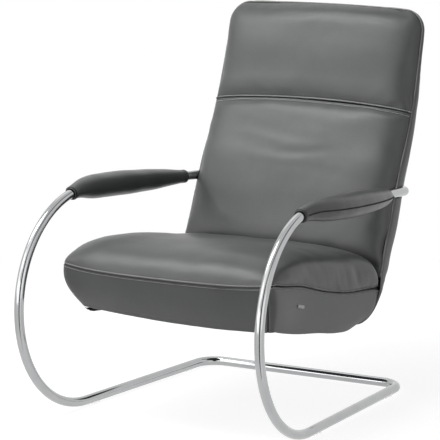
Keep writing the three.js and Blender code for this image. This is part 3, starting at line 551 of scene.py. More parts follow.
class NodeBook:
    """A short way to add shader nodes to one tree and join them."""

    def __init__(self, tree: bpy.types.NodeTree) -> None:
        """Keeps the tree."""
        self.tree = tree

    def add(self, kind: str, inputs: dict[str | int, Any] | None = None, **settings: Any) -> bpy.types.Node:
        """Adds a node.

        Args:
            kind: The node's type without its ShaderNode start.
            inputs: What goes into each input: a value, or a socket to link.
            settings: The node's own settings.

        Returns:
            The node.
        """
        made = self.tree.nodes.new("ShaderNode" + kind)
        for key, value in settings.items():
            setattr(made, key, value)
        for key, value in (inputs or {}).items():
            if isinstance(value, bpy.types.NodeSocket):
                self.tree.links.new(value, made.inputs[key])
            else:
                made.inputs[key].default_value = value
        return made

    def sum(self, kind: str, *terms: Any) -> bpy.types.NodeSocket:
        """Adds a Math node of one kind and gives its result."""
        return self.add("Math", dict(enumerate(terms)), operation=kind).outputs[0]

    def noise(self, vector: bpy.types.NodeSocket, scale: float, detail: float = 2.0, rough: float = 0.5) -> bpy.types.NodeSocket:
        """Adds soft noise and gives its height."""
        values = {"Vector": vector, "Scale": scale, "Detail": detail, "Roughness": rough}
        return self.add("TexNoise", values).outputs["Fac"]

    def ramp(self, height: Any, low: float, high: float, start: float = 0.0, end: float = 1.0) -> bpy.types.NodeSocket:
        """Maps a height from one range to another and keeps it there."""
        values = {0: height, 1: low, 2: high, 3: start, 4: end}
        return self.add("MapRange", values, clamp=True).outputs[0]

    def blend(self, share: Any, first: Any, second: Any) -> bpy.types.NodeSocket:
        """Mixes two colours and gives the result."""
        values = {0: share, 6: first, 7: second}
        return self.add("Mix", values, data_type="RGBA").outputs[2]


def new_group(name: str, inputs: dict[str, Any], outputs: Sequence[str]) -> tuple[bpy.types.NodeTree, NodeBook, bpy.types.Node, bpy.types.Node]:
    """Starts a shader node group.

    Args:
        name: The group's name.
        inputs: Each input's name, with None for a vector or the starting number.
        outputs: Names of the outputs, which are all numbers.

    Returns:
        The group, a book to add its nodes with, and its input and output nodes.
    """
    tree = bpy.data.node_groups.new(name, "ShaderNodeTree")
    for key, start in inputs.items():
        kind = "NodeSocketVector" if start is None else "NodeSocketFloat"
        made = tree.interface.new_socket(name=key, in_out="INPUT", socket_type=kind)
        if start is not None:
            made.default_value = start
    for key in outputs:
        tree.interface.new_socket(name=key, in_out="OUTPUT", socket_type="NodeSocketFloat")
    return tree, NodeBook(tree), tree.nodes.new("NodeGroupInput"), tree.nodes.new("NodeGroupOutput")


def leather_grain_group() -> bpy.types.NodeTree:
    """Builds the grain of the hide: small rounded cells, finer pores, long soft creases and cloudy tone.

    Returns:
        The group, with the outputs Height, Tone and Pore.
    """
    start = {"Vector": None, "Cells": 620.0, "Crease": 0.35, "Cloud": 9.0}
    tree, book, given, out = new_group("leather_grain", start, ["Height", "Tone", "Pore"])
    place = given.outputs["Vector"]
    wander = book.add("TexNoise", {"Vector": place, "Scale": 160.0, "Detail": 1.0}).outputs["Color"]
    bent = book.add("MixRGB", {0: 0.0025, 1: place, 2: wander}, blend_type="ADD").outputs[0]
    cells = book.add("TexVoronoi", {"Vector": bent, "Scale": given.outputs["Cells"]}, feature="DISTANCE_TO_EDGE")
    pebble = book.ramp(cells.outputs["Distance"], 0.0, 0.22)
    pore = book.noise(place, 2600.0, 1.0)
    long_way = book.add("Mapping", {"Vector": place, "Scale": (1.0, 1.0, 2.6)}).outputs[0]
    crease = book.ramp(book.noise(long_way, 34.0, 3.0, 0.55), 0.35, 0.75)
    low = book.sum("MULTIPLY", crease, given.outputs["Crease"])
    height = book.sum("ADD", book.sum("MULTIPLY", pebble, 0.55), book.sum("MULTIPLY_ADD", pore, 0.18, low))
    tone = book.add("TexNoise", {"Vector": place, "Scale": given.outputs["Cloud"], "Detail": 4.0, "Roughness": 0.6})
    for key, found in (("Height", height), ("Tone", tone.outputs["Fac"]), ("Pore", book.sum("SUBTRACT", 1.0, pebble))):
        tree.links.new(found, out.inputs[key])
    return tree


def brush_lines_group() -> bpy.types.NodeTree:
    """Builds fine lines that run round a tube, with faint scratches along it.

    Returns:
        The group, with the outputs Height and Streak.
    """
    tree, book, given, out = new_group("brush_lines", {"Vector": None, "Lines": 3200.0}, ["Height", "Streak"])
    place = given.outputs["Vector"]
    round_way = book.add("Mapping", {"Vector": place, "Scale": (0.03, 0.03, 1.0)}).outputs[0]
    long_way = book.add("Mapping", {"Vector": place, "Scale": (1.0, 1.0, 0.02)}).outputs[0]
    lines = book.add("TexNoise", {"Vector": round_way, "Scale": given.outputs["Lines"], "Detail": 2.0}).outputs["Fac"]
    scratch = book.ramp(book.noise(long_way, 900.0, 2.0), 0.62, 0.8)
    tree.links.new(book.sum("MULTIPLY_ADD", scratch, 0.4, lines), out.inputs["Height"])
    tree.links.new(book.sum("MULTIPLY_ADD", scratch, 0.5, book.noise(place, 14.0, 3.0)), out.inputs["Streak"])
    return tree


def weave_group() -> bpy.types.NodeTree:
    """Builds a plain weave of two sets of threads.

    Returns:
        The group, with the outputs Height and Tone.
    """
    tree, book, given, out = new_group("plain_weave", {"Vector": None, "Threads": 900.0}, ["Height", "Tone"])
    place = book.add("VectorMath", {0: given.outputs["Vector"], 3: given.outputs["Threads"]}, operation="SCALE").outputs[0]
    parts = book.add("SeparateXYZ", {0: place}).outputs
    over = book.sum("MULTIPLY", book.sum("SINE", book.sum("MULTIPLY", parts[0], math.pi)), book.sum("SINE", book.sum("MULTIPLY", parts[1], math.pi)))
    fuzz = book.noise(given.outputs["Vector"], 700.0, 2.0)
    tree.links.new(book.sum("MULTIPLY_ADD", over, 0.4, fuzz), out.inputs["Height"])
    tree.links.new(book.noise(given.outputs["Vector"], 30.0, 3.0), out.inputs["Tone"])
    return tree


class Finishes:
    """Every finish on the chair, each built once."""

    def __init__(self) -> None:
        """Builds the shared node groups."""
        self.grain = leather_grain_group()
        self.lines = brush_lines_group()
        self.weave = weave_group()
        self.made: dict[str, bpy.types.Material] = {}

    def start(self, name: str) -> tuple[bpy.types.Material, NodeBook, bpy.types.Node, bpy.types.NodeSocket]:
        """Starts a material.

        Args:
            name: The finish's name.

        Returns:
            The material, its book of nodes, its main shader, and the object's own coordinates.
        """
        made = bpy.data.materials.new(name)
        made.use_nodes = True
        book = NodeBook(made.node_tree)
        shader = made.node_tree.nodes["Principled BSDF"]
        place = book.add("TexCoord").outputs["Object"]
        self.made[name] = made
        return made, book, shader, place

    def bump(self, book: NodeBook, shader: bpy.types.Node, height: Any, strength: float, depth: float) -> None:
        """Gives a shader small relief.

        Args:
            book: The material's nodes.
            shader: Its main shader.
            height: Where the relief is read from.
            strength: How much of it shows.
            depth: Its depth in metres.
        """
        made = book.add("Bump", {"Height": height, "Strength": strength, "Distance": depth})
        book.tree.links.new(made.outputs[0], shader.inputs["Normal"])

    def leather(self, name: str, look: "LeatherLook") -> bpy.types.Material:
        """Soft hide with a fine grain, duller in its seams, with painted shade darkening its seams and hidden insides.

        Args:
            name: The finish's name.
            look: Its colours and gloss.

        Returns:
            The material.
        """
        if name in self.made:
            return self.made[name]
        made, book, shader, place = self.start(name)
        values = {"Vector": place, "Cells": look.cells, "Crease": look.crease, "Cloud": look.cloud}
        grain = book.add("Group", node_tree=self.grain)
        for key, value in values.items():
            if isinstance(value, bpy.types.NodeSocket):
                book.tree.links.new(value, grain.inputs[key])
            else:
                grain.inputs[key].default_value = value
        tone = book.ramp(grain.outputs["Tone"], 0.3, 0.7)
        body = book.blend(tone, (*look.dark, 1), (*look.light, 1))
        # Painted shade: the seam value darkens the hide towards the groove colour in seams, on cushion undersides and
        # in the pads' bores.
        seam = book.add("Attribute", attribute_name="seam").outputs["Fac"]
        deep = book.blend(book.ramp(seam, 0.25, 1.0), body, (*look.groove, 1))
        pores = book.blend(book.sum("MULTIPLY", grain.outputs["Pore"], 0.16), deep, (*look.groove, 1))
        book.tree.links.new(pores, shader.inputs["Base Color"])
        gloss = book.ramp(grain.outputs["Tone"], 0.25, 0.75, look.rough - 0.04, look.rough + 0.05)
        dull = book.sum("MAXIMUM", gloss, book.ramp(seam, 0.25, 0.8))
        book.tree.links.new(dull, shader.inputs["Roughness"])
        shader.inputs["Specular IOR Level"].default_value = look.shine
        self.bump(book, shader, grain.outputs["Height"], 0.32, 0.00035)
        return made

    def metal(self, name: str, colour: tuple[float, float, float], rough: float, run: bool) -> bpy.types.Material:
        """Brushed or plain metal.

        Args:
            name: The finish's name.
            colour: Its colour.
            rough: How dull it is.
            run: Whether the lines follow the tube's own run.

        Returns:
            The material.
        """
        made, book, shader, place = self.start(name)
        if run:
            place = book.add("Attribute", attribute_name="tube_run").outputs["Vector"]
        lines = book.add("Group", node_tree=self.lines)
        book.tree.links.new(place, lines.inputs["Vector"])
        low = tuple(c * 0.88 for c in colour)
        tone = book.blend(book.ramp(lines.outputs["Streak"], 0.35, 0.9), (*colour, 1), (*low, 1))
        book.tree.links.new(tone, shader.inputs["Base Color"])
        book.tree.links.new(book.ramp(lines.outputs["Streak"], 0.3, 1.0, rough, rough + 0.08), shader.inputs["Roughness"])
        shader.inputs["Metallic"].default_value = 1.0
        self.bump(book, shader, lines.outputs["Height"], 0.12, 0.00004)
        return made

    def cloth(self, name: str, colour: tuple[float, float, float], threads: float, rough: float = 0.9,
              shine: float = 0.15) -> bpy.types.Material:
        """Plain woven cloth or thread.

        Args:
            name: The finish's name.
            colour: Its colour.
            threads: Threads in a metre.
            rough: How dull it is.
            shine: How strongly it reflects.

        Returns:
            The material.
        """
        made, book, shader, place = self.start(name)
        weave = book.add("Group", node_tree=self.weave)
        book.tree.links.new(place, weave.inputs["Vector"])
        weave.inputs["Threads"].default_value = threads
        low = tuple(c * 0.75 for c in colour)
        tone = book.blend(book.ramp(weave.outputs["Height"], 0.1, 0.9), (*low, 1), (*colour, 1))
        book.tree.links.new(tone, shader.inputs["Base Color"])
        book.tree.links.new(book.ramp(weave.outputs["Tone"], 0.3, 0.7, rough - 0.06, min(1.0, rough + 0.06)), shader.inputs["Roughness"])
        shader.inputs["Specular IOR Level"].default_value = shine
        self.bump(book, shader, weave.outputs["Height"], 0.5, 0.0003)
        return made

    def moulded(self, name: str, colour: tuple[float, float, float], rough: float) -> bpy.types.Material:
        """Moulded plastic or paint with a fine texture.

        Args:
            name: The finish's name.
            colour: Its colour.
            rough: How dull it is.

        Returns:
            The material.
        """
        made, book, shader, place = self.start(name)
        cloud = book.noise(place, 60.0, 4.0, 0.6)
        low = tuple(c * 0.75 for c in colour)
        book.tree.links.new(book.blend(book.ramp(cloud, 0.3, 0.7), (*low, 1), (*colour, 1)), shader.inputs["Base Color"])
        book.tree.links.new(book.ramp(cloud, 0.3, 0.7, rough, rough + 0.1), shader.inputs["Roughness"])
        self.bump(book, shader, book.noise(place, 1500.0, 2.0), 0.25, 0.0001)
        return made


@dataclass(frozen=True)
class LeatherLook:
    """Colours and gloss of one hide.

    Attributes:
        dark: Its colour where the tone is low.
        light: Its colour where the tone is high.
        groove: Its colour in pores, and the painted shade at the bottom of seams.
        rough: How dull it is.
        shine: How much it mirrors.
        cells: Grain cells in a metre.
        crease: How strong the creases are.
        cloud: How close the changes of tone are.
    """

    dark: tuple[float, float, float] = (0.080, 0.084, 0.083)
    light: tuple[float, float, float] = (0.106, 0.110, 0.109)
    # The groove colour is also the painted shade in seams.
    groove: tuple[float, float, float] = (0.010, 0.0105, 0.0105)
    rough: float = 0.35
    shine: float = 0.5
    cells: float = 640.0
    crease: float = 0.3
    cloud: float = 7.0


def dress(piece: bpy.types.Object, material: bpy.types.Material, body: str | None = "swing") -> bpy.types.Object:
    """Gives a piece its finish and, if a body is given, hangs the piece on it.

    Args:
        piece: The piece.
        material: Its finish.
        body: The body that it rides on.

    Returns:
        The piece.
    """
    piece.data.materials.clear()
    piece.data.materials.append(material)
    if body:
        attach(piece, body)
    LOG.info("%s: %d faces", piece.name, len(piece.data.polygons))
    return piece


# Stitches


@dataclass
class Needle:
    """Sews lines of thread.

    Attributes:
        pitch: From one stitch to the next.
        length: Length of a stitch.
        thickness: Thickness of the thread.
    """

    pitch: float = 6.4
    length: float = 4.7
    thickness: float = 2.5
    shape: np.ndarray = field(default=None)
    faces: list[list[int]] = field(default_factory=list)

    def __post_init__(self) -> None:
        """Models one stitch, a short bead."""
        deselect_all()
        bpy.ops.mesh.primitive_uv_sphere_add(segments=6, ring_count=4, radius=1.0, location=(0, 0, 0), rotation=(0, math.pi / 2, 0))
        bead = bpy.context.object
        bpy.ops.object.transform_apply(location=True, rotation=True, scale=True)
        self.shape = np.array([v.co for v in bead.data.vertices])
        self.faces = [list(f.vertices) for f in bead.data.polygons]
        bpy.data.objects.remove(bead)

    def sew(self, name: str, lines: Sequence[tuple[np.ndarray, np.ndarray]]) -> bpy.types.Object:
        """Sews lines of stitches as one piece.

        Args:
            name: The piece's name.
            lines: Each line's points and outward directions.

        Returns:
            The stitches.
        """
        points: list[np.ndarray] = []
        faces: list[list[int]] = []
        for line, out in lines:
            total = lengths_along(line)[-1]
            middles = np.arange(self.pitch, total - self.pitch, self.pitch)
            both = np.concatenate([line, out], axis=1)
            here = at_lengths(both, middles)
            ahead = at_lengths(both, middles + self.length / 2)
            behind = at_lengths(both, middles - self.length / 2)
            run = ahead[:, :3] - behind[:, :3]
            run /= np.maximum(np.linalg.norm(run, axis=1, keepdims=True), TINY)
            up = here[:, 3:] / np.maximum(np.linalg.norm(here[:, 3:], axis=1, keepdims=True), TINY)
            side = np.cross(run, up)
            size = np.array([self.length, self.thickness, 0.7 * self.thickness]) / 2
            for centre, x, y, z in zip(here[:, :3], run, side, up):
                faces += [[v + len(points) * len(self.shape) for v in f] for f in self.faces]
                points.append(centre + z * 0.8 + (self.shape * size) @ np.stack([x, y, z]))
        return mesh_piece(name, np.concatenate(points), faces)


def piping(name: str, line: np.ndarray, out: np.ndarray, radius: float, sides: int = 10) -> bpy.types.Object:
    """A thin round edge of leather along a line, closed at both ends.

    Args:
        name: The piece's name.
        line: The middle of the edge.
        out: A direction across it at each point.
        radius: Its radius.
        sides: Points round it.

    Returns:
        The edge.
    """
    line = at_lengths(np.column_stack([line, out]), np.arange(0, lengths_along(line)[-1], 4.0))
    line, out = line[:, :3], line[:, 3:]
    run = np.gradient(line, axis=0)
    side = np.cross(run, out)
    side /= np.linalg.norm(side, axis=1, keepdims=True)
    turns = 2 * math.pi * np.arange(sides) / sides
    spread = out[:, None] * np.cos(turns)[None, :, None] + side[:, None] * np.sin(turns)[None, :, None]
    uneven = 1 + 0.06 * ripples(line, 12, 40, 91)
    points = line[:, None] + radius * uneven[:, None, None] * spread
    count = len(line)
    ends = [list(range(sides)), [(count - 1) * sides + i for i in reversed(range(sides))]]
    faces = grid_faces(count, sides, round_columns=True) + ends
    piece = mesh_piece(name, points.reshape(-1, 3), faces)
    face_out(piece)
    return piece


# The bent tube


@dataclass
class TubeFrame:
    """The one steel tube: floor loop, front bows, arms and the bar behind the back.

    Attributes:
        radius: Radius of the tube.
        axis_height: Height of the floor loop's axis.
        rear_y: Where the floor loop's rear bar is.
        rear_half: Half the width of the loop there.
        toe: How far each side turns outwards.
        bow_radius: Radius of the front bow.
        bow_y: Where the bow's centre is.
        fall: How far the arm falls to the rear.
        base_bend: Radius of the floor loop's corners.
        arm_bend: Radius of the arm's rear corners.
        cross_y: Where the bar behind the back is.
        sides: Points round the tube.
    """

    radius: float = 12.5
    axis_height: float = 15.0
    rear_y: float = 340.0
    rear_half: float = 305.0
    toe: float = math.radians(3.0)
    bow_radius: float = 283.0
    bow_y: float = -241.0
    fall: float = math.radians(3.64)
    base_bend: float = 60.0
    arm_bend: float = 45.0
    cross_y: float = 372.0
    sides: int = 28

    def side_x(self, y: float | np.ndarray) -> float | np.ndarray:
        """Half the width between the tube's two sides at a place along the chair."""
        return self.rear_half + (self.rear_y - y) * math.tan(self.toe)

    @property
    def bow_z(self) -> float:
        """Height of the bow's centre."""
        return self.axis_height + self.bow_radius

    @property
    def arm_start(self) -> tuple[float, float]:
        """Where the bow ends and the straight arm starts."""
        return (self.bow_y + self.bow_radius * math.sin(self.fall), self.bow_z + self.bow_radius * math.cos(self.fall))

    def arm_axis(self, y: np.ndarray, side: float) -> tuple[np.ndarray, np.ndarray]:
        """Centre of the tube along an arm, and the direction over it.

        Args:
            y: Places along the chair.
            side: 1 for the right arm, -1 for the left.

        Returns:
            Centres and upward directions.
        """
        y = np.asarray(y, float)
        start_y, start_z = self.arm_start
        on_bow = y < start_y
        lean = np.arcsin(np.clip((self.bow_y - y) / self.bow_radius, -1, 1))
        angle = np.where(on_bow, math.pi - lean, math.pi + self.fall)
        z = np.where(on_bow, self.bow_z - self.bow_radius * np.cos(angle), start_z - (y - start_y) * math.tan(self.fall))
        over = np.stack([np.zeros_like(y), -np.sin(angle), -np.cos(angle)], axis=-1)
        return np.stack([side * self.side_x(y), y, z], axis=-1), over

    def build(self) -> bpy.types.Object:
        """Draws half the tube out of one circle, as on a bending bench, then mirrors it.

        Returns:
            The closed tube.
        """
        deselect_all()
        bpy.ops.mesh.primitive_circle_add(
            vertices=self.sides, radius=self.radius * MM, fill_type="NOTHING",
            location=to_frame((0, self.rear_y, self.axis_height)), rotation=(0, math.pi / 2, 0),
        )
        tube = bpy.context.object
        tube.name = tube.data.name = "steel_tube"
        bpy.ops.object.transform_apply(location=True, rotation=True, scale=True)
        bpy.ops.object.mode_set(mode="EDIT")
        bpy.ops.mesh.select_all(action="SELECT")
        here = Vector((0, self.rear_y, self.axis_height))
        across, up = Vector((1, 0, 0)), Vector((0, 0, 1))
        forward = Vector((math.sin(self.toe), -math.cos(self.toe), 0))
        turn = math.pi / 2 - self.toe
        here = self.straight(here, across, self.rear_half - self.base_bend * math.tan(turn / 2))
        here, way = self.bend(here, across, -up, self.base_bend, turn, 12)
        here = self.straight(here, way, (here.y - self.bow_y) / math.cos(self.toe))
        here, way = self.bend(here, way, forward.cross(up), self.bow_radius, math.pi + self.fall, 60)
        last = way.angle(-across)
        corner = (self.cross_y - here.y) / way.y
        here = self.straight(here, way, corner - self.arm_bend * math.tan(last / 2))
        here, way = self.bend(here, way, way.cross(-across).normalized(), self.arm_bend, last, 12)
        self.straight(here, way, here.x / -way.x)
        bpy.ops.object.mode_set(mode="OBJECT")
        self.mark_run(tube)
        modifier_done(tube, "MIRROR", use_axis=(True, False, False), merge_threshold=0.0002)
        face_out(tube)
        bpy.ops.object.shade_smooth()
        return tube

    def straight(self, here: Vector, way: Vector, length: float) -> Vector:
        """Pulls the open end straight on.

        Args:
            here: The end's centre.
            way: The direction.
            length: How far.

        Returns:
            The new centre.
        """
        bpy.ops.mesh.extrude_region_move(TRANSFORM_OT_translate={"value": way * length * MM})
        return here + way * length

    def bend(self, here: Vector, way: Vector, axis: Vector, radius: float, angle: float, steps: int) -> tuple[Vector, Vector]:
        """Turns the open end round an axis.

        Args:
            here: The end's centre.
            way: Its direction.
            axis: The axis that it turns about.
            radius: Radius of the bend.
            angle: How far it turns.
            steps: How many rings it takes.

        Returns:
            The new centre and direction.
        """
        centre = here + axis.cross(way) * radius
        # The spin operator turns the other way round its axis than a rotation does
        bpy.ops.mesh.spin(steps=steps, angle=angle, center=to_frame(centre), axis=-axis, dupli=False)
        turned = Quaternion(axis, angle)
        return centre + turned @ (here - centre), turned @ way

    def mark_run(self, tube: bpy.types.Object) -> None:
        """Keeps at each point how far round and along the tube it is, for the brushed lines.

        Args:
            tube: Half the tube, ring after ring.
        """
        rings = np.array([v.co for v in tube.data.vertices]).reshape(-1, self.sides, 3)
        middles = rings.mean(axis=1)
        run = lengths_along(middles)
        turns = 2 * math.pi * np.arange(self.sides) / self.sides
        around = np.stack([np.cos(turns), np.sin(turns)], axis=-1) * self.radius * MM
        kept = np.concatenate([np.broadcast_to(around, (len(rings), self.sides, 2)), np.broadcast_to(run[:, None, None], (len(rings), self.sides, 1))], axis=-1)
        made = tube.data.attributes.new("tube_run", "FLOAT_VECTOR", "POINT")
        made.data.foreach_set("vector", kept.astype(np.float32).ravel())

    def dress(self, tube: bpy.types.Object, finishes: Finishes) -> None:
        """Finishes the tube and its glides, and sets the tube's place into its mesh."""
        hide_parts("base_frame", "arm_frame")
        dress(tube, finishes.metal("satin_steel", (0.43, 0.435, 0.44), 0.10, True), None)
        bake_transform(tube)
        for name in ("front_glide_right", "front_glide_left", "rear_glide_right", "rear_glide_left"):
            dress(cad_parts[name], self.nylon(finishes), None)

    def nylon(self, finishes: Finishes) -> bpy.types.Material:
        """Clear nylon of the glides."""
        if "glide_nylon" not in finishes.made:
            clear = finishes.moulded("glide_nylon", (0.97, 0.97, 0.97), 0.15)
            clear.node_tree.nodes["Principled BSDF"].inputs["Transmission Weight"].default_value = 0.9
        return finishes.made["glide_nylon"]


# The seat


@dataclass
class Seat:
    """The seat cushion, the leather band under its seam, and the cloth below.

    Attributes:
        half: Half the width at the seam.
        front: Where the seam's front corners are.
        bow: How far the front stands out in its middle.
        rear: Where the seam ends behind.
        seam_z: Height of the seam at the front.
        seam_drop: How far it falls to the rear.
        crown: How high the cushion stands over its seam.
        bulge: How far its sides swell.
        power: How square its section is.
        front_wide: How much wider each side is at the front.
        front_sag: How far the seam hangs down in the middle of the front.
        corner_seam: Where the band's right upright seam is, as a share of the half width.
        left_seam: Where its left one is.
    """

    half: float = 303.0
    front: float = -389.0
    bow: float = 27.0
    rear: float = 190.0
    seam_z: float = 412.98
    seam_drop: float = 103.0
    crown: float = 109.0
    bulge: float = 6.0
    power: float = 4.9
    edge_half: float = 279.0
    edge_front: float = -338.0
    edge_bow: float = 12.0
    edge_rear: float = 118.0
    edge_z: float = 290.98
    edge_drop: float = 80.0
    band_bulge: float = 7.0
    corner_bulge: float = 7.0
    front_wide: float = 3.5
    front_sag: float = 12.0
    corner_seam: float = 0.955
    left_seam: float = 0.985
    plan_corner: float = 14.0
    sag: float = 14.5
    side_sag: float = 9.5
    sag_across: ShareCurve = ShareCurve((-1, 0), (-0.8, 0.25), (-0.4, 0.64), (0, 0.93), (0.4, 1.03), (0.8, 0.69), (1, 0.28))
    tag_y: float = -233.0
    tag_z: float = 338.0
    tag_fall: float = 0.25
    tag_length: float = 34.0
    tag_height: float = 8.5
    staple_gap: float = 34.0
    seam_fall: ShareCurve = ShareCurve((0, 0), (0.13, 0.1), (0.25, 0.27), (0.5, 0.65), (0.75, 0.9), (1, 1))
    edge_fall: ShareCurve = ShareCurve((0, 0), (0.25, 0.34), (0.5, 0.63), (0.75, 0.93), (0.88, 1), (1, 0.87))
    crown_rise: ShareCurve = ShareCurve(
        (0, 0), (0.012, 0.15), (0.05, 0.32), (0.11, 0.47), (0.19, 0.63), (0.29, 0.81), (0.43, 0.96),
        (0.58, 1), (0.74, 0.99), (0.86, 0.96), (0.945, 0.87), (0.975, 0.68), (0.992, 0.4), (1, 0),
    )

    def wider(self, share: np.ndarray) -> np.ndarray:
        """How much wider each side is than the seam's own half width."""
        return self.front_wide * np.exp(-((share / 0.3) ** 2))

    def seam_sag(self, share: np.ndarray, across: np.ndarray) -> np.ndarray:
        """How far the seam hangs down at its front and beside its front corners."""
        front = (1.5 + self.front_sag * (1 - np.abs(across) ** 5)) * np.exp(-((share / 0.11) ** 2))
        return front + 7.0 * np.exp(-(((share - 0.12) / 0.1) ** 2)) * np.abs(across) ** 4

    def corner_back(self, across: np.ndarray, half: float) -> np.ndarray:
        """How far the front lies back near its rounded corners."""
        over = np.clip(np.abs(across) * half - (half - self.plan_corner), 0, self.plan_corner)
        return self.plan_corner - np.sqrt(self.plan_corner**2 - over**2)

    def top(self, share: Any, across: Any, fullness: Any) -> np.ndarray:
        """A place on the cushion.

        Args:
            share: How far back, from 0 at the front seam to 1.
            across: From -1 at the left seam to 1 at the right one.
            fullness: 0 at seam level and 1 on the crown.

        Returns:
            The place.
        """
        share, across, fullness = np.broadcast_arrays(np.asarray(share, float), across, fullness)
        rise = self.crown_rise(share)
        swell = self.bulge * 4 * fullness * (1 - fullness) * np.minimum(1, 2 * rise)
        x = self.half * across + np.sign(across) * swell + self.wider(share) * across
        start = self.front - self.bow * (1 - across**2) + self.corner_back(across, self.half)
        y = start + (self.rear - start) * share
        z = self.seam_z - self.seam_drop * self.seam_fall(share) + self.crown * rise * fullness
        z = z - self.seam_sag(share, across) * (1 - 0.9 * rise * fullness)
        return np.stack([x, y, z], axis=-1)

    def edge(self, share: Any, across: Any) -> np.ndarray:
        """A place on the band's lower edge, for the same shares as the seam."""
        share, across = np.broadcast_arrays(np.asarray(share, float), across)
        start = self.edge_front - self.edge_bow * (1 - across**2) + self.corner_back(across, self.edge_half)
        y = start + (self.edge_rear - start) * share
        return np.stack([(self.edge_half + self.wider(share)) * across, y, self.edge_z - self.edge_drop * self.edge_fall(share)], axis=-1)

    def fill_out(self, skin: Skin) -> None:
        """Fills the front shoulder, adds soft waves, and pulls small folds in at the sides' rear.

        Args:
            skin: The cushion's skin.
        """
        front, sides = skin.from_rim(Rim.FIRST_ROW), np.minimum(skin.from_rim(Rim.FIRST_COLUMN), skin.from_rim(Rim.LAST_COLUMN))
        height = 5.5 * np.exp(-(((front - 95) / 75) ** 2)) * (1 - np.exp(-sides / 30))
        height += 1.1 * ripples(skin.points, 90, 210, 3)
        folds = ripples(np.stack([front, sides * 0.12, np.sign(skin.points[..., 0]) * 300], axis=-1), 16, 34, 9)
        height += 1.5 * folds * np.exp(-(((front - 470) / 110) ** 2)) * np.exp(-(((sides - 30) / 34) ** 2))
        skin.push(height * (1 - np.exp(-np.minimum(front, sides) / 8)))

    def cushion_skin(self) -> tuple[Skin, np.ndarray]:
        """Lays points over the cushion.

        Returns:
            The skin, and the plane of the seam under each of its points.
        """
        shares = 0.5 - 0.5 * np.cos(np.linspace(0, math.pi, 900))
        middle = np.column_stack([self.top(shares, 0.0, 1.0), shares])
        rows = at_lengths(middle, Marks(middle=62).on(lengths_along(middle[:, :3])[-1]))[:, 3]
        rows[0], rows[-1] = 0.0, 1.0
        across, fullness = section(self.power)
        marks = Marks(middle=58)
        lines = []
        for share in rows:
            curve = np.column_stack([self.top(share, across, fullness), across])
            lines.append(at_lengths(curve, marks.on(lengths_along(curve[:, :3])[-1])))
        found = np.array(lines)
        under = self.top(rows[:, None], found[..., 3], 0.0)
        return Skin(found[..., :3]), under

    def band_skin(self, wrap: "Back") -> Skin:
        """Lays points over the band, from the left rear round the front to the right rear.

        Args:
            wrap: The back, whose lower wrap the band meets.

        Returns:
            The skin, from the seam down.
        """
        side = np.linspace(0, 1, 58)
        beside = np.array([0.8, 1.8, 3, 5, 8, 12]) / self.half
        corner = self.corner_seam + np.concatenate([-beside[::-1], [0.0], beside])
        left = self.left_seam + np.concatenate([-beside[:-1][::-1], [0.0], beside[:3]])
        front = np.concatenate([[-1.0], -left[::-1], np.linspace(-0.94, 0.9, 50), corner, [1.0]])
        path = [(s, -1.0) for s in side[::-1]] + [(0.0, a) for a in front[1:-1]] + [(s, 1.0) for s in side]
        levels = np.linspace(0, 1, 60)
        marks = Marks(middle=14)
        columns = []
        for i, (share, across) in enumerate(path):
            curve = self.band_point(share, across, levels, wrap)
            columns.append(at_lengths(curve, marks.on(lengths_along(curve)[-1])))
        skin = Skin(np.array(columns).transpose(1, 0, 2), outward=-1.0)
        self.sew_corners(skin, [path.index((0.0, side_at)) for side_at in (-self.left_seam, self.corner_seam)])
        return skin

    def band_point(self, share: float, across: float, level: np.ndarray, wrap: "Back") -> np.ndarray:
        """Places down the band at one place on the seam.

        Args:
            share: How far back.
            across: How far across.
            level: From 0 at the seam to 1 at the lower edge.
            wrap: The back, whose wrap it meets.

        Returns:
            The places.
        """
        top, low = self.top(share, across, 0.0), self.edge(share, across)
        point = top + (low - top) * level[:, None]
        swell = self.band_bulge * np.sin(math.pi * level)
        point[:, 0] += math.copysign(abs(across) ** 6, across) * swell
        if share == 0:
            point[:, 1] -= swell
        front = math.exp(-((share / 0.16) ** 2))
        round_out = self.corner_bulge * front * np.sin(math.pi * level**0.8)
        point[:, 0] += math.copysign(abs(across) ** 10, across) * round_out
        point[:, 1] -= round_out * abs(across) ** 10
        point[:, 2] -= self.sag * float(self.sag_across(across)) * front * level**2
        point[:, 2] -= self.side_sag * math.exp(-(((share - 0.2) / 0.36) ** 2)) * max(0.0, across) ** 3 * level**2
        seam_y, seam_z = wrap.wrap_seam(0.82 * (1 - level))
        rear = self.top(1.0, across, 0.0) + (self.edge(1.0, across) - self.top(1.0, across, 0.0)) * level[:, None]
        pull = share ** (4 + 12 * (1 - level))
        point[:, 1] += (seam_y - 2.4 - rear[:, 1]) * pull
        point[:, 2] += (seam_z - rear[:, 2]) * pull - 0.6 * (1 - level)
        return point

    def sew_corners(self, skin: Skin, corners: Sequence[int]) -> None:
        """Draws the two upright corner seams into the band.

        Args:
            skin: The band.
            corners: The columns that the seams follow.
        """
        run = skin.along(1)
        height = np.zeros(run.shape)
        for corner in corners:
            away = np.abs(run - run[:, corner][:, None])
            height -= 2.4 * np.exp(-((away / 1.8) ** 2)) + 0.45 * np.exp(-(((away - 5) / 1.2) ** 2))
            # Paints shade into the corner seams.
            skin.seam = np.maximum(skin.seam, np.exp(-((away / 2.2) ** 4)))
        skin.push(height)

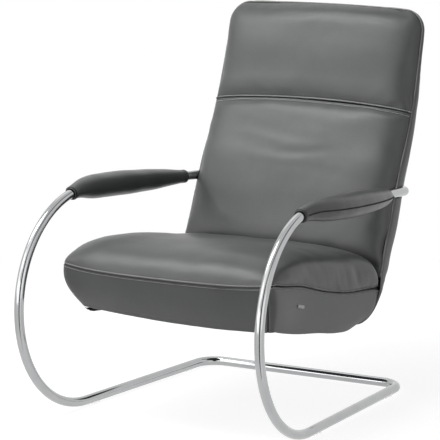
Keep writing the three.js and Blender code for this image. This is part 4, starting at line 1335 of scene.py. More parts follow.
    def build(self, finishes: Finishes, wrap: "Back", needle: Needle) -> None:
        """Builds and dresses the seat.

        Args:
            finishes: The chair's finishes.
            wrap: The back, whose wrap the band meets.
            needle: Sews the stitched lines.
        """
        hide = finishes.leather("grey_hide", LeatherLook())
        skin, under = self.cushion_skin()
        self.fill_out(skin)
        skin.points = skin.points + Stuffing(spare=0.01).relief(skin, under - (0, 0, 60))
        sewn = [Rim.FIRST_ROW, Rim.FIRST_COLUMN, Rim.LAST_COLUMN]
        skin.seam_at(sewn, 2.4, 6.0, 0.8, 11, ridge=0.7)
        cushion = pillow("seat_cushion", skin, under - (0, 0, 5))
        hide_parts("seat_cover", "seat_foam")
        dress(cushion, hide)
        band = self.band_skin(wrap)
        band.seam_at([Rim.FIRST_ROW], 2.4, 6.0, 0.35, 21, ridge=0.5)
        band.seam_at([Rim.LAST_ROW], 3.0, 11.0, 0.5, 23, 0.0)
        piece = leather_sheet("seat_band", band, 2.0)
        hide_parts("seat_border")
        dress(piece, hide)
        band.cut()
        lines = [skin.line(rim, 6.0) for rim in sewn] + [band.line(Rim.FIRST_ROW, 6.0)]
        dress(needle.sew("seat_topstitch", lines), finishes.made["grey_thread"])
        self.tag(band, finishes)
        self.underside(finishes)

    def tag(self, band: Skin, finishes: Finishes) -> None:
        """Sews the small bare folded tag to the band's right side.

        Args:
            band: The band.
            finishes: The chair's finishes.
        """
        wanted = np.array([self.half, self.tag_y, self.tag_z])
        flat = band.points.reshape(-1, 3)
        found = int(np.argmin(np.linalg.norm(flat - wanted, axis=1)))
        middle, out = flat[found], band.normals().reshape(-1, 3)[found]
        run = np.cross((0.0, 0.0, 1.0), out)
        run /= np.linalg.norm(run)
        run = run + (0, 0, -self.tag_fall * np.sign(run[1]))
        run /= np.linalg.norm(run)
        down = np.cross(run, out)
        down *= -np.sign(down[2])
        half_length, height = self.tag_length / 2, self.tag_height
        turn = np.linspace(0, math.pi, 9)
        layers = [(1.0, place) for place in np.linspace(0, height - 0.9, 8)]
        layers += [(1.75 - 0.75 * math.cos(a), height - 0.9 + 0.9 * math.sin(a)) for a in turn[1:-1]]
        layers += [(2.5, place) for place in np.linspace(height - 0.9, 0.6, 8)]
        across = np.linspace(-half_length, half_length, 24)
        grid = np.array([[middle + run * a + out * (lift + 0.35 * math.sin(a / 5.5) * place / height) + down * place
                          for a in across] for lift, place in layers])
        piece = leather_sheet("side_tag", Skin(grid, outward=1.0), 0.4)
        face_out(piece)
        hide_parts("seat_tag")
        dress(piece, finishes.made["tag_cloth"])

    def underside(self, finishes: Finishes) -> None:
        """Stretches the black lining under the seat, puckered between its staples.

        Args:
            finishes: The chair's finishes.
        """
        shares, across = np.linspace(0.006, 0.985, 96)[:, None], np.linspace(-0.985, 0.985, 96)[None]
        points = self.edge(shares, across)
        away = np.minimum(np.minimum(shares, 1 - shares) * 456, (1 - np.abs(across)) * 279)
        run = np.where(np.minimum(shares, 1 - shares) * 456 < (1 - np.abs(across)) * 279, points[..., 0], points[..., 1])
        staples = 0.5 - 0.5 * np.cos(run / self.staple_gap * 2 * math.pi)
        sag = 2.2 * staples * np.exp(-((away - 14) / 9) ** 2) - 2.4 * np.exp(-away / 14) + 1.2 * (1 - np.exp(-away / 60))
        corner = np.exp(-(((points[..., 0] + 262) / 24) ** 2)) * np.exp(-((points[..., 1] + 322) / 26) ** 2)
        points[..., 2] -= sag + 8.0 * corner + 0.8 * ripples(points, 30, 80, 81) * (1 - np.exp(-away / 10))
        piece = leather_sheet("underside_cloth", Skin(points, outward=-1.0), 0.8)
        face_out(piece)
        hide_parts("dust_cover")
        dress(piece, finishes.made["black_lining"])


# The back


@dataclass(frozen=True)
class Fold:
    """One soft level fold of the back.

    Attributes:
        at_z: Height of its middle.
        at_x: Where its middle is across the chair.
        half_z: Half its height.
        half_x: Half its width.
        height: How far it stands out, or how deep it is.
    """

    at_z: float
    at_x: float
    half_z: float
    half_x: float
    height: float


SITTING_FOLDS = (
    Fold(664, -60, 13, 115, 1.7), Fold(640, 5, 11, 90, -2.0), Fold(612, -65, 14, 75, 1.3),
    Fold(706, 70, 20, 120, -1.2), Fold(592, 60, 14, 90, -1.0), Fold(722, -120, 18, 90, 1.0),
)


@dataclass
class Back:
    """The back cushion, the headrest cushion and the panel behind them.

    Attributes:
        half: Half the width at the bottom.
        bottom: Where the front seam's lower end is.
        bottom_z: Its height.
        height: How tall the back is.
        reach: How far the seam leans back over that height.
        taper: How much narrower each side is at the top.
        corner: Radius of the upper corners.
        top_bow: How much higher the middle of the top is than its corners.
        crown: How far the cushions stand out.
        power: How square their section is.
        lean: The way that they stand out, from the level.
        split: Where the seam under the headrest is, as a share of the height.
        split_depth: How deep the cushions dip there.
        split_half: How far from the seam the dip reaches.
        split_bulge: How far the headrest swells out over the dip.
        split_arch: How much higher the seam is in its middle than the split.
        split_fall: How much lower it is at the sides.
    """

    half: float = 304.0
    bottom: float = 204.0
    bottom_z: float = 331.98
    height: float = 684.0
    reach: float = 262.0
    taper: float = 11.0
    corner: float = 54.0
    top_bow: float = 5.0
    crown: float = 50.0
    power: float = 2.6
    lean: float = math.radians(22.0)
    split: float = 0.612
    split_depth: float = 10.0
    split_half: float = 17.0
    split_bulge: float = 2.2
    split_arch: float = 6.0
    split_fall: float = 4.5
    depth: float = 62.0
    rear_crown: float = 9.0
    rear_power: float = 9.0
    strip_swell: float = 3.0
    wrap_swell: float = 4.0
    edge_half: float = 279.0
    edge_y: float = 118.0
    edge_z: float = 221.4
    seam_run: ShareCurve = ShareCurve(
        (0, 0), (0.093, 0.07), (0.175, 0.166), (0.285, 0.287), (0.4, 0.42), (0.487, 0.545), (0.611, 0.69),
        (0.716, 0.79), (0.833, 0.885), (0.922, 0.953), (1, 1),
    )
    crown_rise: ShareCurve = ShareCurve(
        (0, 0), (0.03, 0.36), (0.07, 0.78), (0.12, 0.94), (0.32, 1), (0.62, 0.96), (0.8, 0.95), (0.9, 0.84),
        (0.96, 0.62), (0.99, 0.3), (1, 0),
    )
    strip: ShareCurve = ShareCurve(
        (0, 0.65), (0.06, 0.89), (0.12, 0.95), (0.197, 0.97), (0.335, 0.84), (0.465, 0.74), (0.605, 0.58),
        (0.7, 0.47), (0.838, 0.21), (0.92, 0.19), (0.985, 0.17), (1, 0),
    )
    wrap_depth: ShareCurve = ShareCurve((0, 0.03), (0.2, 0.065), (0.4, 0.1), (0.6, 0.16), (0.8, 0.35), (1, 0.65))

    def half_width(self, share: Any) -> np.ndarray:
        """Half the width at a share of the height."""
        share = np.asarray(share, float)
        over = np.clip(self.height * share - (self.height - self.corner), 0, self.corner)
        return self.half - self.taper * share**2 - (self.corner - np.sqrt(self.corner**2 - over**2))

    def bow_at(self, share: np.ndarray) -> np.ndarray:
        """How much higher the middle is than the sides at a share of the height."""
        return self.top_bow * np.clip((share - 0.8) / 0.2, 0, 1) ** 2

    def front(self, share: Any, across: Any, fullness: Any) -> np.ndarray:
        """A place on the cushions' front.

        Args:
            share: How far up, from 0 to 1.
            across: From -1 at the left seam to 1 at the right one.
            fullness: 0 at the seam and 1 on the crown.

        Returns:
            The place.
        """
        share, across, fullness = np.broadcast_arrays(np.asarray(share, float), across, fullness)
        over = (share - self.split) * self.height
        arch = self.split_arch - (self.split_arch + self.split_fall) * across**2
        share = share + arch / self.height * np.minimum(share / self.split, (1 - share) / (1 - self.split))
        dip = self.split_depth * np.exp(-((over / self.split_half) ** 2))
        dip -= self.split_bulge * np.exp(-(((over - 40) / 20) ** 2))
        out = (self.crown * self.crown_rise(share) - dip) * fullness
        y = self.bottom + self.reach * self.seam_run(share) - out * math.cos(self.lean)
        z = self.bottom_z + self.height * share + out * math.sin(self.lean)
        z = z + self.bow_at(share) * (1 - across**2)
        return np.stack([across * self.half_width(share), y, z], axis=-1)

    def wrap_seam(self, share: np.ndarray) -> tuple[np.ndarray, np.ndarray]:
        """Where the wrap under the back meets the seat's band, as lengths back and up."""
        turn = share * math.pi / 2
        y = self.edge_y + (self.bottom - self.edge_y) * np.sin(turn)
        return y, self.edge_z + (self.bottom_z - self.edge_z) * (1 - np.cos(turn))

    def front_skin(self, low: float, high: float, rows: int) -> tuple[Skin, np.ndarray]:
        """Lays points over one cushion.

        Args:
            low: Share of the height where it starts.
            high: Share where it ends.
            rows: Rows between the close ones at its ends.

        Returns:
            The skin, and the plane of the seam behind each of its points.
        """
        shares = low + (high - low) * (0.5 - 0.5 * np.cos(np.linspace(0, math.pi, 900)))
        middle = np.column_stack([self.front(shares, 0.0, 1.0), shares])
        picked = at_lengths(middle, Marks(middle=rows).on(lengths_along(middle[:, :3])[-1]))[:, 3]
        picked[0], picked[-1] = low, high
        across, fullness = section(self.power)
        marks = Marks(middle=56)
        lines = []
        for share in picked:
            curve = np.column_stack([self.front(share, across, fullness), across])
            lines.append(at_lengths(curve, marks.on(lengths_along(curve[:, :3])[-1])))
        found = np.array(lines)
        return Skin(found[..., :3]), self.front(picked[:, None], found[..., 3], 0.0)

    def rear_skin(self) -> Skin:
        """Lays points over the panel behind, from under the seat's rear up to the top.

        Returns:
            The skin.
        """
        wrap = np.linspace(0, 0.82, 80)
        up = np.concatenate([np.linspace(0, 0.9, 240), 0.9 + 0.1 * np.sin(np.linspace(0.02, math.pi / 2, 90))])
        level = 1 - wrap / 0.82
        wrap_y, wrap_z = self.wrap_seam(wrap)
        wrap_half = self.half + (self.edge_half - self.half) * level + self.wrap_swell * np.sin(math.pi * level)
        seam = self.front(up, 0.0, 0.0)
        rows = np.column_stack([
            np.concatenate([wrap_y, seam[:, 1]]),
            np.concatenate([wrap_z, seam[:, 2]]),
            np.concatenate([wrap_half, self.half_width(up)]),
            self.depth * np.concatenate([self.wrap_depth(wrap), self.strip(up)]),
            np.concatenate([math.pi / 2 + (self.lean - math.pi / 2) * wrap, np.full(len(up), self.lean)]),
            np.concatenate([np.zeros(len(wrap)), self.bow_at(up)]),
        ])
        rows = at_lengths(rows, Marks(middle=92).on(lengths_along(rows[:, :2])[-1]), 2)
        across, fullness = section(self.rear_power)
        marks = Marks(middle=56)
        lines = []
        for y, z, half, depth, lean, bow in rows:
            crown = self.rear_crown * (1 - across**2) * min(1.0, 2 * depth / self.depth)
            reach = 0.6 + (depth + crown) * fullness
            height = z - bow * across**2 - reach * math.sin(lean)
            curve = np.column_stack([across * half, y + reach * math.cos(lean), height])
            lines.append(at_lengths(curve, marks.on(lengths_along(curve)[-1])))
        return Skin(np.array(lines), outward=-1.0)

    def seam_path(self) -> tuple[np.ndarray, np.ndarray]:
        """The seam between front and rear, up the right side, over the top and down the left.

        Returns:
            Its points and the outward direction at each.
        """
        up = np.concatenate([np.linspace(0.004, 0.92, 170), 0.92 + 0.08 * np.sin(np.linspace(0.02, math.pi / 2, 50))])
        over = np.linspace(1, -1, 70)[1:-1]
        line = np.concatenate([self.front(up, 1.0, 0.0), self.front(1.0, over, 0.0), self.front(up[::-1], -1.0, 0.0)])
        run = np.gradient(line, axis=0)
        out = -np.cross(run, (0.0, math.cos(self.lean), -math.sin(self.lean)))
        return line, out / np.linalg.norm(out, axis=1, keepdims=True)

    def soften(self, skin: Skin) -> None:
        """Adds the soft level folds that sitting leaves in the leather.

        Args:
            skin: The back cushion's skin.
        """
        x, z = skin.points[..., 0], skin.points[..., 2]
        height = np.zeros(x.shape)
        for fold in SITTING_FOLDS:
            bend = 10 * np.sin(x / 70 + fold.at_z)
            height += fold.height * np.exp(-(((z - fold.at_z - bend) / fold.half_z) ** 2) - ((x - fold.at_x) / fold.half_x) ** 2)
        skin.push(height)

    def make_room(self, skin: Skin, tube: TubeFrame) -> None:
        """Presses the leather in where the arms run past the sides.

        Args:
            skin: The skin that the tube touches.
            tube: The bent tube.
        """
        start, end = 120.0, 372.0
        line = np.linspace(start, end, 240)
        for side in (-1.0, 1.0):
            centres, _ = tube.arm_axis(line, side)
            flat = skin.points.reshape(-1, 3)
            near = np.clip(np.round((flat[:, 1] - start) / (end - start) * 239), 0, 239).astype(int)
            gap = flat - centres[near]
            gap[:, 1] = 0.0
            away = np.linalg.norm(gap, axis=1)
            room = tube.radius + 1.6
            close = (away < room) & (flat[:, 1] > start) & (flat[:, 1] < end)
            gap[close, 0] = -side * np.maximum(-side * gap[close, 0], 0.5)
            away = np.linalg.norm(gap, axis=1)
            flat[close] = centres[near][close] + gap[close] / away[close, None] * room + np.stack(
                [np.zeros(close.sum()), flat[close, 1] - centres[near][close, 1], np.zeros(close.sum())], axis=1)
            skin.points = flat.reshape(skin.points.shape)

    def build(self, finishes: Finishes, tube: TubeFrame, needle: Needle) -> None:
        """Builds and dresses the back.

        Args:
            finishes: The chair's finishes.
            tube: The bent tube that it hangs in.
            needle: Sews the stitched lines.
        """
        hide = finishes.leather("grey_hide", LeatherLook())
        back_way = np.array([0, math.cos(self.lean), -math.sin(self.lean)])
        skin, under = self.front_skin(0.0, self.split, 56)
        skin.push(1.3 * ripples(skin.points, 70, 190, 5, (2.2, 1, 1)))
        self.soften(skin)
        skin.points = skin.points + Stuffing().relief(skin, under + back_way * 40)
        skin.seam_at([Rim.LAST_ROW], 2.4, 6.2, 0.9, 31, ridge=0.6)
        skin.seam_at([Rim.FIRST_COLUMN, Rim.LAST_COLUMN], 1.8, 5.0, 0.4, 33, 0.2)
        self.make_room(skin, tube)
        cushion = pillow("back_cushion", skin, under + back_way * 5)
        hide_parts("back_cover", "back_foam")
        dress(cushion, hide)
        head, under = self.front_skin(self.split, 1.0, 34)
        head.push(1.4 * ripples(head.points, 80, 200, 8, (1.8, 1, 1)))
        head.points = head.points + Stuffing(cap=8.0).relief(head, under + back_way * 40)
        head.seam_at([Rim.FIRST_ROW], 2.4, 6.2, 1.0, 41, ridge=1.3)
        head.seam_at([Rim.FIRST_COLUMN, Rim.LAST_COLUMN, Rim.LAST_ROW], 1.8, 6.0, 0.4, 43, 0.2)
        piece = pillow("headrest_cushion", head, under + back_way * 5)
        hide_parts("headrest_cover", "headrest_foam")
        dress(piece, hide)
        rear = self.rear_skin()
        away = np.minimum(rear.from_rim(Rim.FIRST_COLUMN), rear.from_rim(Rim.LAST_COLUMN))
        fuller = self.strip_swell * (1 - np.exp(-away / 7)) * np.exp(-((away / 90) ** 4))
        fuller *= np.clip((rear.points[..., 2] - 330) / 140, 0, 1)
        rear.push(0.5 * ripples(rear.points, 90, 220, 15) + 2.0 + fuller)
        rear.seam_at([Rim.FIRST_COLUMN, Rim.LAST_COLUMN], 1.8, 5.0, 0.3, 51, 0.4)
        self.make_room(rear, tube)
        panel = leather_sheet("rear_panel", rear, 2.0)
        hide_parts("rear_cover")
        dress(panel, hide)
        rear.cut()
        lines = [head.line(Rim.FIRST_ROW, 6.2), skin.line(Rim.LAST_ROW, 11.0)]
        dress(needle.sew("back_topstitch", lines), finishes.made["grey_thread"])
        line, out = self.seam_path()
        # The welt is dressed in a lighter copy of the hide, a painted highlight along the seam.
        dress(piping("side_welt", line + out * 1.1 + back_way * 0.2, out, 1.9), finishes.made["welt_hide_painted_highlight"])


# The arms


@dataclass
class ArmPads:
    """The padded sleeves on the arms, with their hems.

    Attributes:
        front: Where the front mouth is.
        rear: Where the rear mouth is.
        half_width: Half the greatest width.
        half_height: Half the greatest height.
        mouth: Radius at each mouth.
        bore: Radius of the hole for the tube.
        sag: How far the pad hangs below the tube's axis.
        power: How square the section is.
    """

    front: float = -296.0
    rear: float = 218.0
    half_width: float = 38.0
    half_height: float = 32.0
    mouth: float = 16.6
    bore: float = 13.3
    sag: float = 1.2
    power: float = 2.2
    width_rise: ShareCurve = ShareCurve(
        (0, 0), (0.05, 0.15), (0.14, 0.48), (0.27, 0.82), (0.45, 1), (0.66, 0.95), (0.84, 0.7), (0.95, 0.36), (1, 0))
    height_rise: ShareCurve = ShareCurve(
        (0, 0), (0.05, 0.28), (0.14, 0.68), (0.27, 0.98), (0.45, 1.03), (0.66, 0.86), (0.84, 0.52), (0.94, 0.2), (1, 0))

    def skin(self, tube: TubeFrame, side: float) -> Skin:
        """The pad's leather, with its long seam on the outer side.

        Args:
            tube: The bent tube.
            side: 1 for the right arm, -1 for the left.

        Returns:
            The skin. Its columns run up from the seam, round the arm and back to it.
        """
        length = self.rear - self.front
        shares = Marks(near=(0, 0.8, 1.8, 3, 4.5, 6.5, 9, 12, 16), middle=60).on(length) / length
        centres, over = tube.arm_axis(self.front + shares * length, side)
        turns = np.linspace(0, 2 * math.pi, 400)
        x = np.sign(np.cos(turns)) * np.abs(np.cos(turns)) ** (2 / self.power)
        z = np.sign(np.sin(turns)) * np.abs(np.sin(turns)) ** (2 / self.power)
        marks = Marks(near=(0, 0.5, 1.1, 1.8, 2.7, 4, 5.5, 7.5, 10), middle=34)
        rings = []
        for share, centre, up in zip(shares, centres, over):
            wide = self.mouth + (self.half_width - self.mouth) * self.width_rise(share)
            tall = self.mouth + (self.half_height - self.mouth) * self.height_rise(share)
            sag = self.sag * self.height_rise(share)
            ring = centre + np.outer(wide * x + wide - self.mouth, (side, 0, 0)) + np.outer(tall * z - sag, up)
            rings.append(at_lengths(ring, marks.on(lengths_along(ring)[-1])))
        return Skin(np.array(rings), outward=side)

    def bore_rings(self, tube: TubeFrame, side: float, columns: int) -> np.ndarray:
        """Rings of the hole that the tube fills, from the rear mouth to the front one."""
        centres, over = tube.arm_axis(np.linspace(self.rear, self.front, 40), side)
        turns = np.linspace(0, 2 * math.pi, columns + 1)[:-1]
        out = np.array([side, 0.0, 0.0]) * np.cos(turns)[None, :, None]
        return centres[:, None] + self.bore * (out + over[:, None] * np.sin(turns)[None, :, None])

    def sew(self, skin: Skin) -> None:
        """Draws in the long seam, the turned mouths, and soft waves.

        Args:
            skin: The pad's leather.
        """
        above, below = skin.from_rim(Rim.FIRST_COLUMN), skin.from_rim(Rim.LAST_COLUMN)
        ends = np.minimum(skin.from_rim(Rim.FIRST_ROW), skin.from_rim(Rim.LAST_ROW))
        near = np.minimum(above, below)
        fade = 1 - np.exp(-ends / 6)
        groove = 4.2 * np.exp(-((near / 2.5) ** 2)) + 0.7 * np.exp(-(((near - 6) / 1.2) ** 2))
        line = np.stack([skin.along(0), near * 0.2, np.zeros_like(near)], axis=-1)
        tucks = 0.45 * ripples(line, 12, 30, 61) * np.exp(-near / 12)
        waves = 0.6 * ripples(skin.points, 60, 140, 63)
        # Paints shade along the long seam.
        skin.seam = np.maximum(skin.seam, np.exp(-((near / 2.7) ** 4)) * fade)
        skin.push((waves - groove + tucks) * fade)
        skin.points[:, [0, -1]] = (skin.points[:, [0]] + skin.points[:, [-1]]) / 2
        skin.seam_at([Rim.FIRST_ROW, Rim.LAST_ROW], 1.6, 9.0, 0.5, 65, 0.6)
        skin.points[:, [0, -1]] = (skin.points[:, [0]] + skin.points[:, [-1]]) / 2

    def hem(self, name: str, tube: TubeFrame, side: float, y: float, finishes: Finishes) -> None:
        """The rolled hem at a mouth, in a darker copy of the hide that paints the shade of the open mouth.

        Args:
            name: The piece's name.
            tube: The bent tube.
            side: 1 for the right arm, -1 for the left.
            y: Where the hem's middle is along the chair.
            finishes: The chair's finishes.
        """
        centres, _ = tube.arm_axis(np.array([y - 1, y, y + 1]), side)
        way = Vector(centres[2] - centres[0]).to_track_quat("Z", "Y").to_euler()
        deselect_all()
        bpy.ops.mesh.primitive_torus_add(
            major_segments=44, minor_segments=12, major_radius=(self.bore + 1.7) * MM, minor_radius=1.9 * MM,
            location=to_frame(centres[1]), rotation=way)
        piece = bpy.context.object
        piece.name = piece.data.name = name
        bpy.ops.object.transform_apply(location=True, rotation=True, scale=True)
        points = np.array([v.co for v in piece.data.vertices])
        centre = to_frame(centres[1])
        out = points - centre
        out /= np.linalg.norm(out, axis=1, keepdims=True)
        points = points + out * (0.00035 * ripples(points / MM, 7, 16, 71))[:, None]
        piece.data.vertices.foreach_set("co", points.ravel())
        bpy.ops.object.shade_smooth()
        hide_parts(name.replace("hem", "cuff"))
        dress(piece, finishes.made["hem_painted_shade"])

    def build(self, finishes: Finishes, tube: TubeFrame, needle: Needle) -> None:
        """Builds and dresses both pads.

        Args:
            finishes: The chair's finishes.
            tube: The bent tube.
            needle: Sews the stitched lines.
        """
        hide = finishes.leather("grey_hide", LeatherLook())
        for side, word in ((1.0, "right"), (-1.0, "left")):
            skin = self.skin(tube, side)
            self.sew(skin)
            outer = skin.points[:, :-1]
            bore = self.bore_rings(tube, side, outer.shape[1])
            rings = np.concatenate([outer, bore])
            # The bore is painted fully shaded.
            seam = np.concatenate([skin.seam[:, :-1].ravel(), np.ones(bore.shape[0] * bore.shape[1])])
            faces = grid_faces(len(rings), outer.shape[1], round_rows=True, round_columns=True)
            piece = mesh_piece(f"arm_pad_{word}", rings.reshape(-1, 3), faces, {"seam": seam})
            face_out(piece)
            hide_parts(f"arm_pad_cover_{word}", f"arm_pad_foam_{word}")
            dress(piece, hide)
            lines = [skin.line(Rim.FIRST_COLUMN, 6.0), skin.line(Rim.LAST_COLUMN, 6.0), skin.line(Rim.FIRST_ROW, 9.0)]
            dress(needle.sew(f"arm_topstitch_{word}", lines), finishes.made["grey_thread"])
            self.hem(f"arm_pad_front_hem_{word}", tube, side, self.front - 2.2, finishes)
            self.hem(f"arm_pad_rear_hem_{word}", tube, side, self.rear + 2.2, finishes)


# What is inside and underneath


@dataclass
class Inside:
    """The elastic straps behind the cushions, and the steel parts that the CAD nodes show themselves.

    Attributes:
        shares: How far up the back each strap is.
        half: Half the length of a strap.
        width: Width of the webbing.
        depth: How far behind the seam it lies.
        thickness: How thick it is.
    """

    shares: tuple[float, ...] = (0.19, 0.46, 0.6, 0.72)
    half: float = 276.0
    width: float = 60.0
    depth: float = 4.0
    thickness: float = 1.5

    def strap(self, number: int, share: float, back: Back, finishes: Finishes) -> None:
        """Stretches one ribbed elastic strap from rail to rail.

        Args:
            number: Which strap.
            share: How far up the back it is.
            back: The back that it is in.
            finishes: The chair's finishes.
        """
        reach = self.width / back.height / 2
        shares = np.linspace(share - reach, share + reach, 41)[:, None]
        x = np.linspace(-self.half, self.half, 60)[None]
        points = back.front(shares, 0.0, 0.0) + np.zeros((1, 60, 1))
        points[..., 0] = x
        ribs = 0.18 * np.cos((shares - share) / reach * math.pi * 8) - 0.8 * np.cos(x / self.half * math.pi / 2)
        way = np.array([0.0, math.cos(back.lean), -math.sin(back.lean)])
        points = points + way * (self.depth + 0.9 - ribs)[..., None]
        piece = leather_sheet(f"elastic_strap_{number}", Skin(points), self.thickness)
        face_out(piece)
        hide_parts(f"back_strap_{number}")
        dress(piece, finishes.made["elastic_webbing"])

    def build(self, finishes: Finishes, back: Back) -> None:
        """Builds the straps and dresses the CAD nodes that stay.

        Args:
            finishes: The chair's finishes.
            back: The back that they are in.
        """
        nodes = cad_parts
        steel = finishes.metal("plated_steel", (0.42, 0.42, 0.43), 0.34, False)
        paint = finishes.moulded("black_paint", (0.02, 0.02, 0.021), 0.42)
        for number, share in enumerate(self.shares, 1):
            self.strap(number, share, back, finishes)
        for name, node in nodes.items():
            if node.hide_render:
                continue
            if name.startswith("seat_spring") or name.startswith("clamp"):
                dress(node, steel, None)
            elif name == "shell_frame":
                dress(node, paint, None)


# Floor, light and camera


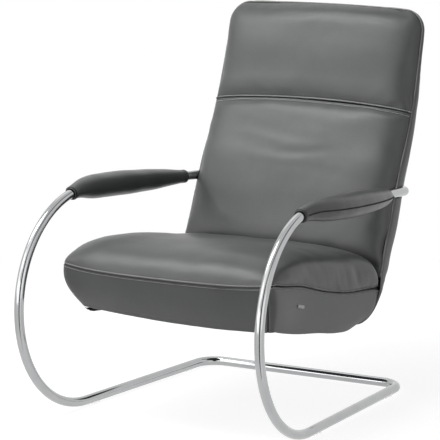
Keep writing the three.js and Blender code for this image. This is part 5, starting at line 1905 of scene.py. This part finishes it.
@dataclass
class Studio:
    """Pale floor, soft light and the camera at the photograph's angle.

    Attributes:
        eye: Where the camera is, in metres.
        aim: What it looks at.
        lens: Its lens in millimetres.
        card_distance: How far the cards are from the chair.
        card_height: How tall they are.
        over_place: Where the level card hangs.
    """

    eye: tuple[float, float, float] = (3.4771, -6.0071, 1.7063)
    aim: tuple[float, float, float] = (-0.06663, 0.03052, 0.48485)
    lens: float = 220.55
    card_distance: float = 8.0
    card_height: float = 14.0
    over_place: tuple[float, float, float] = (4.8, 0.0, 7.2)

    def build(self) -> None:
        """Builds all of it."""
        self.camera()
        self.floor()
        self.world()
        self.lamp("key_softbox", (-1.2, -3.0, 3.3), (0, 0, 0.6), (3.0, 2.4), 18.0)
        self.lamp("front_softbox", (-3.4, -4.4, 2.5), (0, 0, 0.6), (5.0, 3.8), 68.0)
        self.lamp("low_softbox", (-1.0, -5.0, 1.0), (0, 0, 0.5), (4.0, 1.7), 30.0)
        self.lamp("side_softbox", (4.2, -2.0, 1.0), (0, 0, 0.5), (2.4, 1.8), 10.0)
        self.lamp("crown_softbox", (-1.0, -1.0, 3.2), (0, -0.3, 0.4), (1.1, 1.1), 38.0)
        self.lamp("left_softbox", (-2.2, -0.9, 2.6), (0, -0.3, 0.4), (1.0, 1.0), 15.0)
        self.lamp("rear_softbox", (-1.5, 1.5, 3.1), (-0.2, -0.2, 0.5), (1.6, 1.4), 4.0)
        self.lamp("back_softbox", (1.6, 4.2, 2.4), (0, 0, 0.6), (3.0, 2.6), 30.0, shiny=False)
        self.card("line_flag", 0.0, 2.6, 0.0)
        self.card("left_card", -40.0, 8.4, 1.08)
        self.card("right_card", 32.0, 6.0, 1.2)
        self.card("far_right_card", 92.0, 6.0, 1.1)
        self.card("over_flag", 0.0, 3.0, 0.3, over=True)

    def camera(self) -> None:
        """Places the camera."""
        data = bpy.data.cameras.new("camera")
        data.lens, data.sensor_width = self.lens, 36.0
        data.clip_start, data.clip_end = 0.1, 200.0
        camera = bpy.data.objects.new("camera", data)
        bpy.context.scene.collection.objects.link(camera)
        camera.location = self.eye
        camera.rotation_mode = "QUATERNION"
        camera.rotation_quaternion = (Vector(self.aim) - Vector(self.eye)).to_track_quat("-Z", "Y")
        bpy.context.scene.camera = camera

    def lamp(self, name: str, place: Sequence[float], aim: Sequence[float], size: tuple[float, float], power: float,
             shiny: bool = True) -> None:
        """Adds a soft area lamp.

        Args:
            name: Its name.
            place: Where it is.
            aim: What it points at.
            size: Its width and height.
            power: Its power in watts.
            shiny: Whether reflections show it.
        """
        data = bpy.data.lights.new(name, "AREA")
        data.shape, data.size, data.size_y, data.energy = "RECTANGLE", size[0], size[1], power
        lamp = bpy.data.objects.new(name, data)
        lamp.visible_glossy = shiny
        bpy.context.scene.collection.objects.link(lamp)
        lamp.location = place
        lamp.rotation_mode = "QUATERNION"
        lamp.rotation_quaternion = (Vector(aim) - Vector(place)).to_track_quat("-Z", "Y")

    def card(self, name: str, turn: float, width: float, strength: float, over: bool = False) -> None:
        """Hangs a tall card far in front of the chair, which only reflections show.

        Args:
            name: Its name.
            turn: How far it is to the right of the camera, in degrees about the chair.
            width: Its width in metres.
            strength: How bright it is; 0 is black.
            over: Whether it hangs level over the chair, from front to rear.
        """
        deselect_all()
        level = Vector(self.eye) - Vector(self.aim)
        level.z = 0.0
        way = Quaternion((0, 0, 1), math.radians(turn)) @ level.normalized()
        place = Vector(self.over_place) if over else way * self.card_distance
        turned = (0, 0, 0) if over else way.to_track_quat("Z", "Y").to_euler()
        bpy.ops.mesh.primitive_plane_add(size=1.0, location=place, rotation=turned)
        card = bpy.context.object
        card.name = card.data.name = name
        card.scale = (width, self.card_height, 1.0)
        bpy.ops.object.transform_apply(location=True, rotation=True, scale=True)
        card.visible_camera = card.visible_diffuse = card.visible_shadow = card.visible_transmission = False
        made = bpy.data.materials.new(name)
        made.use_nodes = True
        shader = made.node_tree.nodes["Principled BSDF"]
        shader.inputs["Base Color"].default_value = (0.003, 0.003, 0.003, 1)
        shader.inputs["Specular IOR Level"].default_value = 0.0
        shader.inputs["Roughness"].default_value = 1.0
        shader.inputs["Emission Color"].default_value = (1, 1, 1, 1)
        shader.inputs["Emission Strength"].default_value = strength
        card.data.materials.append(made)

    def floor(self) -> None:
        """Lays a pale floor that fades into the backdrop far from the chair."""
        deselect_all()
        bpy.ops.mesh.primitive_circle_add(vertices=96, radius=60.0, fill_type="NGON", location=(0, 0, 0))
        floor = bpy.context.object
        floor.name = "floor"
        made = bpy.data.materials.new("pale_floor")
        made.use_nodes = True
        book = NodeBook(made.node_tree)
        shader = made.node_tree.nodes["Principled BSDF"]
        shader.inputs["Roughness"].default_value = 0.9
        shader.inputs["Specular IOR Level"].default_value = 0.1
        place = book.add("TexCoord").outputs["Object"]
        cloud = book.ramp(book.noise(place, 3.0, 3.0), 0.3, 0.7)
        book.tree.links.new(book.blend(cloud, (0.36, 0.36, 0.36, 1), (0.38, 0.38, 0.38, 1)), shader.inputs["Base Color"])
        rays = book.add("LightPath").outputs
        seen = book.sum("MAXIMUM", rays["Is Camera Ray"], book.sum("MAXIMUM", rays["Is Glossy Ray"], rays["Is Transmission Ray"]))
        away = book.add("VectorMath", {0: place}, operation="LENGTH").outputs["Value"]
        far = book.ramp(away, 1.2, 2.2)
        white = book.add("Emission", {"Color": (1, 1, 1, 1), "Strength": 1.0})
        lift = book.add("Emission", {"Color": (1, 1, 1, 1), "Strength": 0.86})
        near = book.add("AddShader", {0: shader.outputs[0], 1: lift.outputs[0]})
        shown = book.add("MixShader", {0: far, 1: near.outputs[0], 2: white.outputs[0]})
        lit = book.add("MixShader", {0: seen, 1: shader.outputs[0], 2: shown.outputs[0]})
        open_air = book.add("BsdfTransparent")
        cleared = book.sum("MULTIPLY", rays["Is Glossy Ray"], book.ramp(away, 0.55, 1.1))
        final = book.add("MixShader", {0: cleared, 1: lit.outputs[0], 2: open_air.outputs[0]})
        out = made.node_tree.nodes["Material Output"]
        book.tree.links.new(final.outputs[0], out.inputs["Surface"])
        floor.data.materials.append(made)

    def world(self) -> None:
        """Makes the backdrop white to look at and the room's own light soft."""
        world = bpy.data.worlds.new("studio")
        bpy.context.scene.world = world
        world.use_nodes = True
        book = NodeBook(world.node_tree)
        room = world.node_tree.nodes["Background"]
        room.inputs["Color"].default_value, room.inputs["Strength"].default_value = (1, 1, 1, 1), 0.05
        white = book.add("Background", {"Color": (1, 1, 1, 1), "Strength": 1.0})
        rays = book.add("LightPath").outputs
        seen = book.sum("MAXIMUM", rays["Is Camera Ray"], book.sum("MAXIMUM", rays["Is Glossy Ray"], rays["Is Transmission Ray"]))
        mixed = book.add("MixShader", {0: seen, 1: room.outputs[0], 2: white.outputs[0]})
        book.tree.links.new(mixed.outputs[0], world.node_tree.nodes["World Output"].inputs["Surface"])


def main() -> None:
    """Builds the chair and its studio in order."""
    logging.basicConfig(level=logging.INFO, format="%(message)s")
    bpy.context.scene.view_settings.view_transform = "Standard"
    finishes = Finishes()
    finishes.cloth("grey_thread", (0.68, 0.685, 0.68), 2400.0, 0.6, 0.4)
    # A lighter copy of the hide that paints a highlight along the side welts.
    finishes.leather("welt_hide_painted_highlight", LeatherLook(dark=(0.27, 0.274, 0.272), light=(0.33, 0.334, 0.332)))
    # A darker copy of the hide that paints the shade of the pads' open mouths.
    finishes.leather("hem_painted_shade", LeatherLook(dark=(0.035, 0.036, 0.036), light=(0.05, 0.052, 0.051)))
    finishes.cloth("elastic_webbing", (0.055, 0.052, 0.05), 1100.0)
    finishes.cloth("black_lining", (0.012, 0.012, 0.013), 1500.0)
    finishes.cloth("tag_cloth", (0.97, 0.975, 0.97), 1600.0, 0.5, 1.0)
    needle = Needle()
    tube = TubeFrame()
    tube.dress(tube.build(), finishes)
    back = Back()
    Seat().build(finishes, back, needle)
    back.build(finishes, tube, needle)
    ArmPads().build(finishes, tube, needle)
    Inside().build(finishes, back)
    Studio().build()


if __name__ == "__main__":
    main()
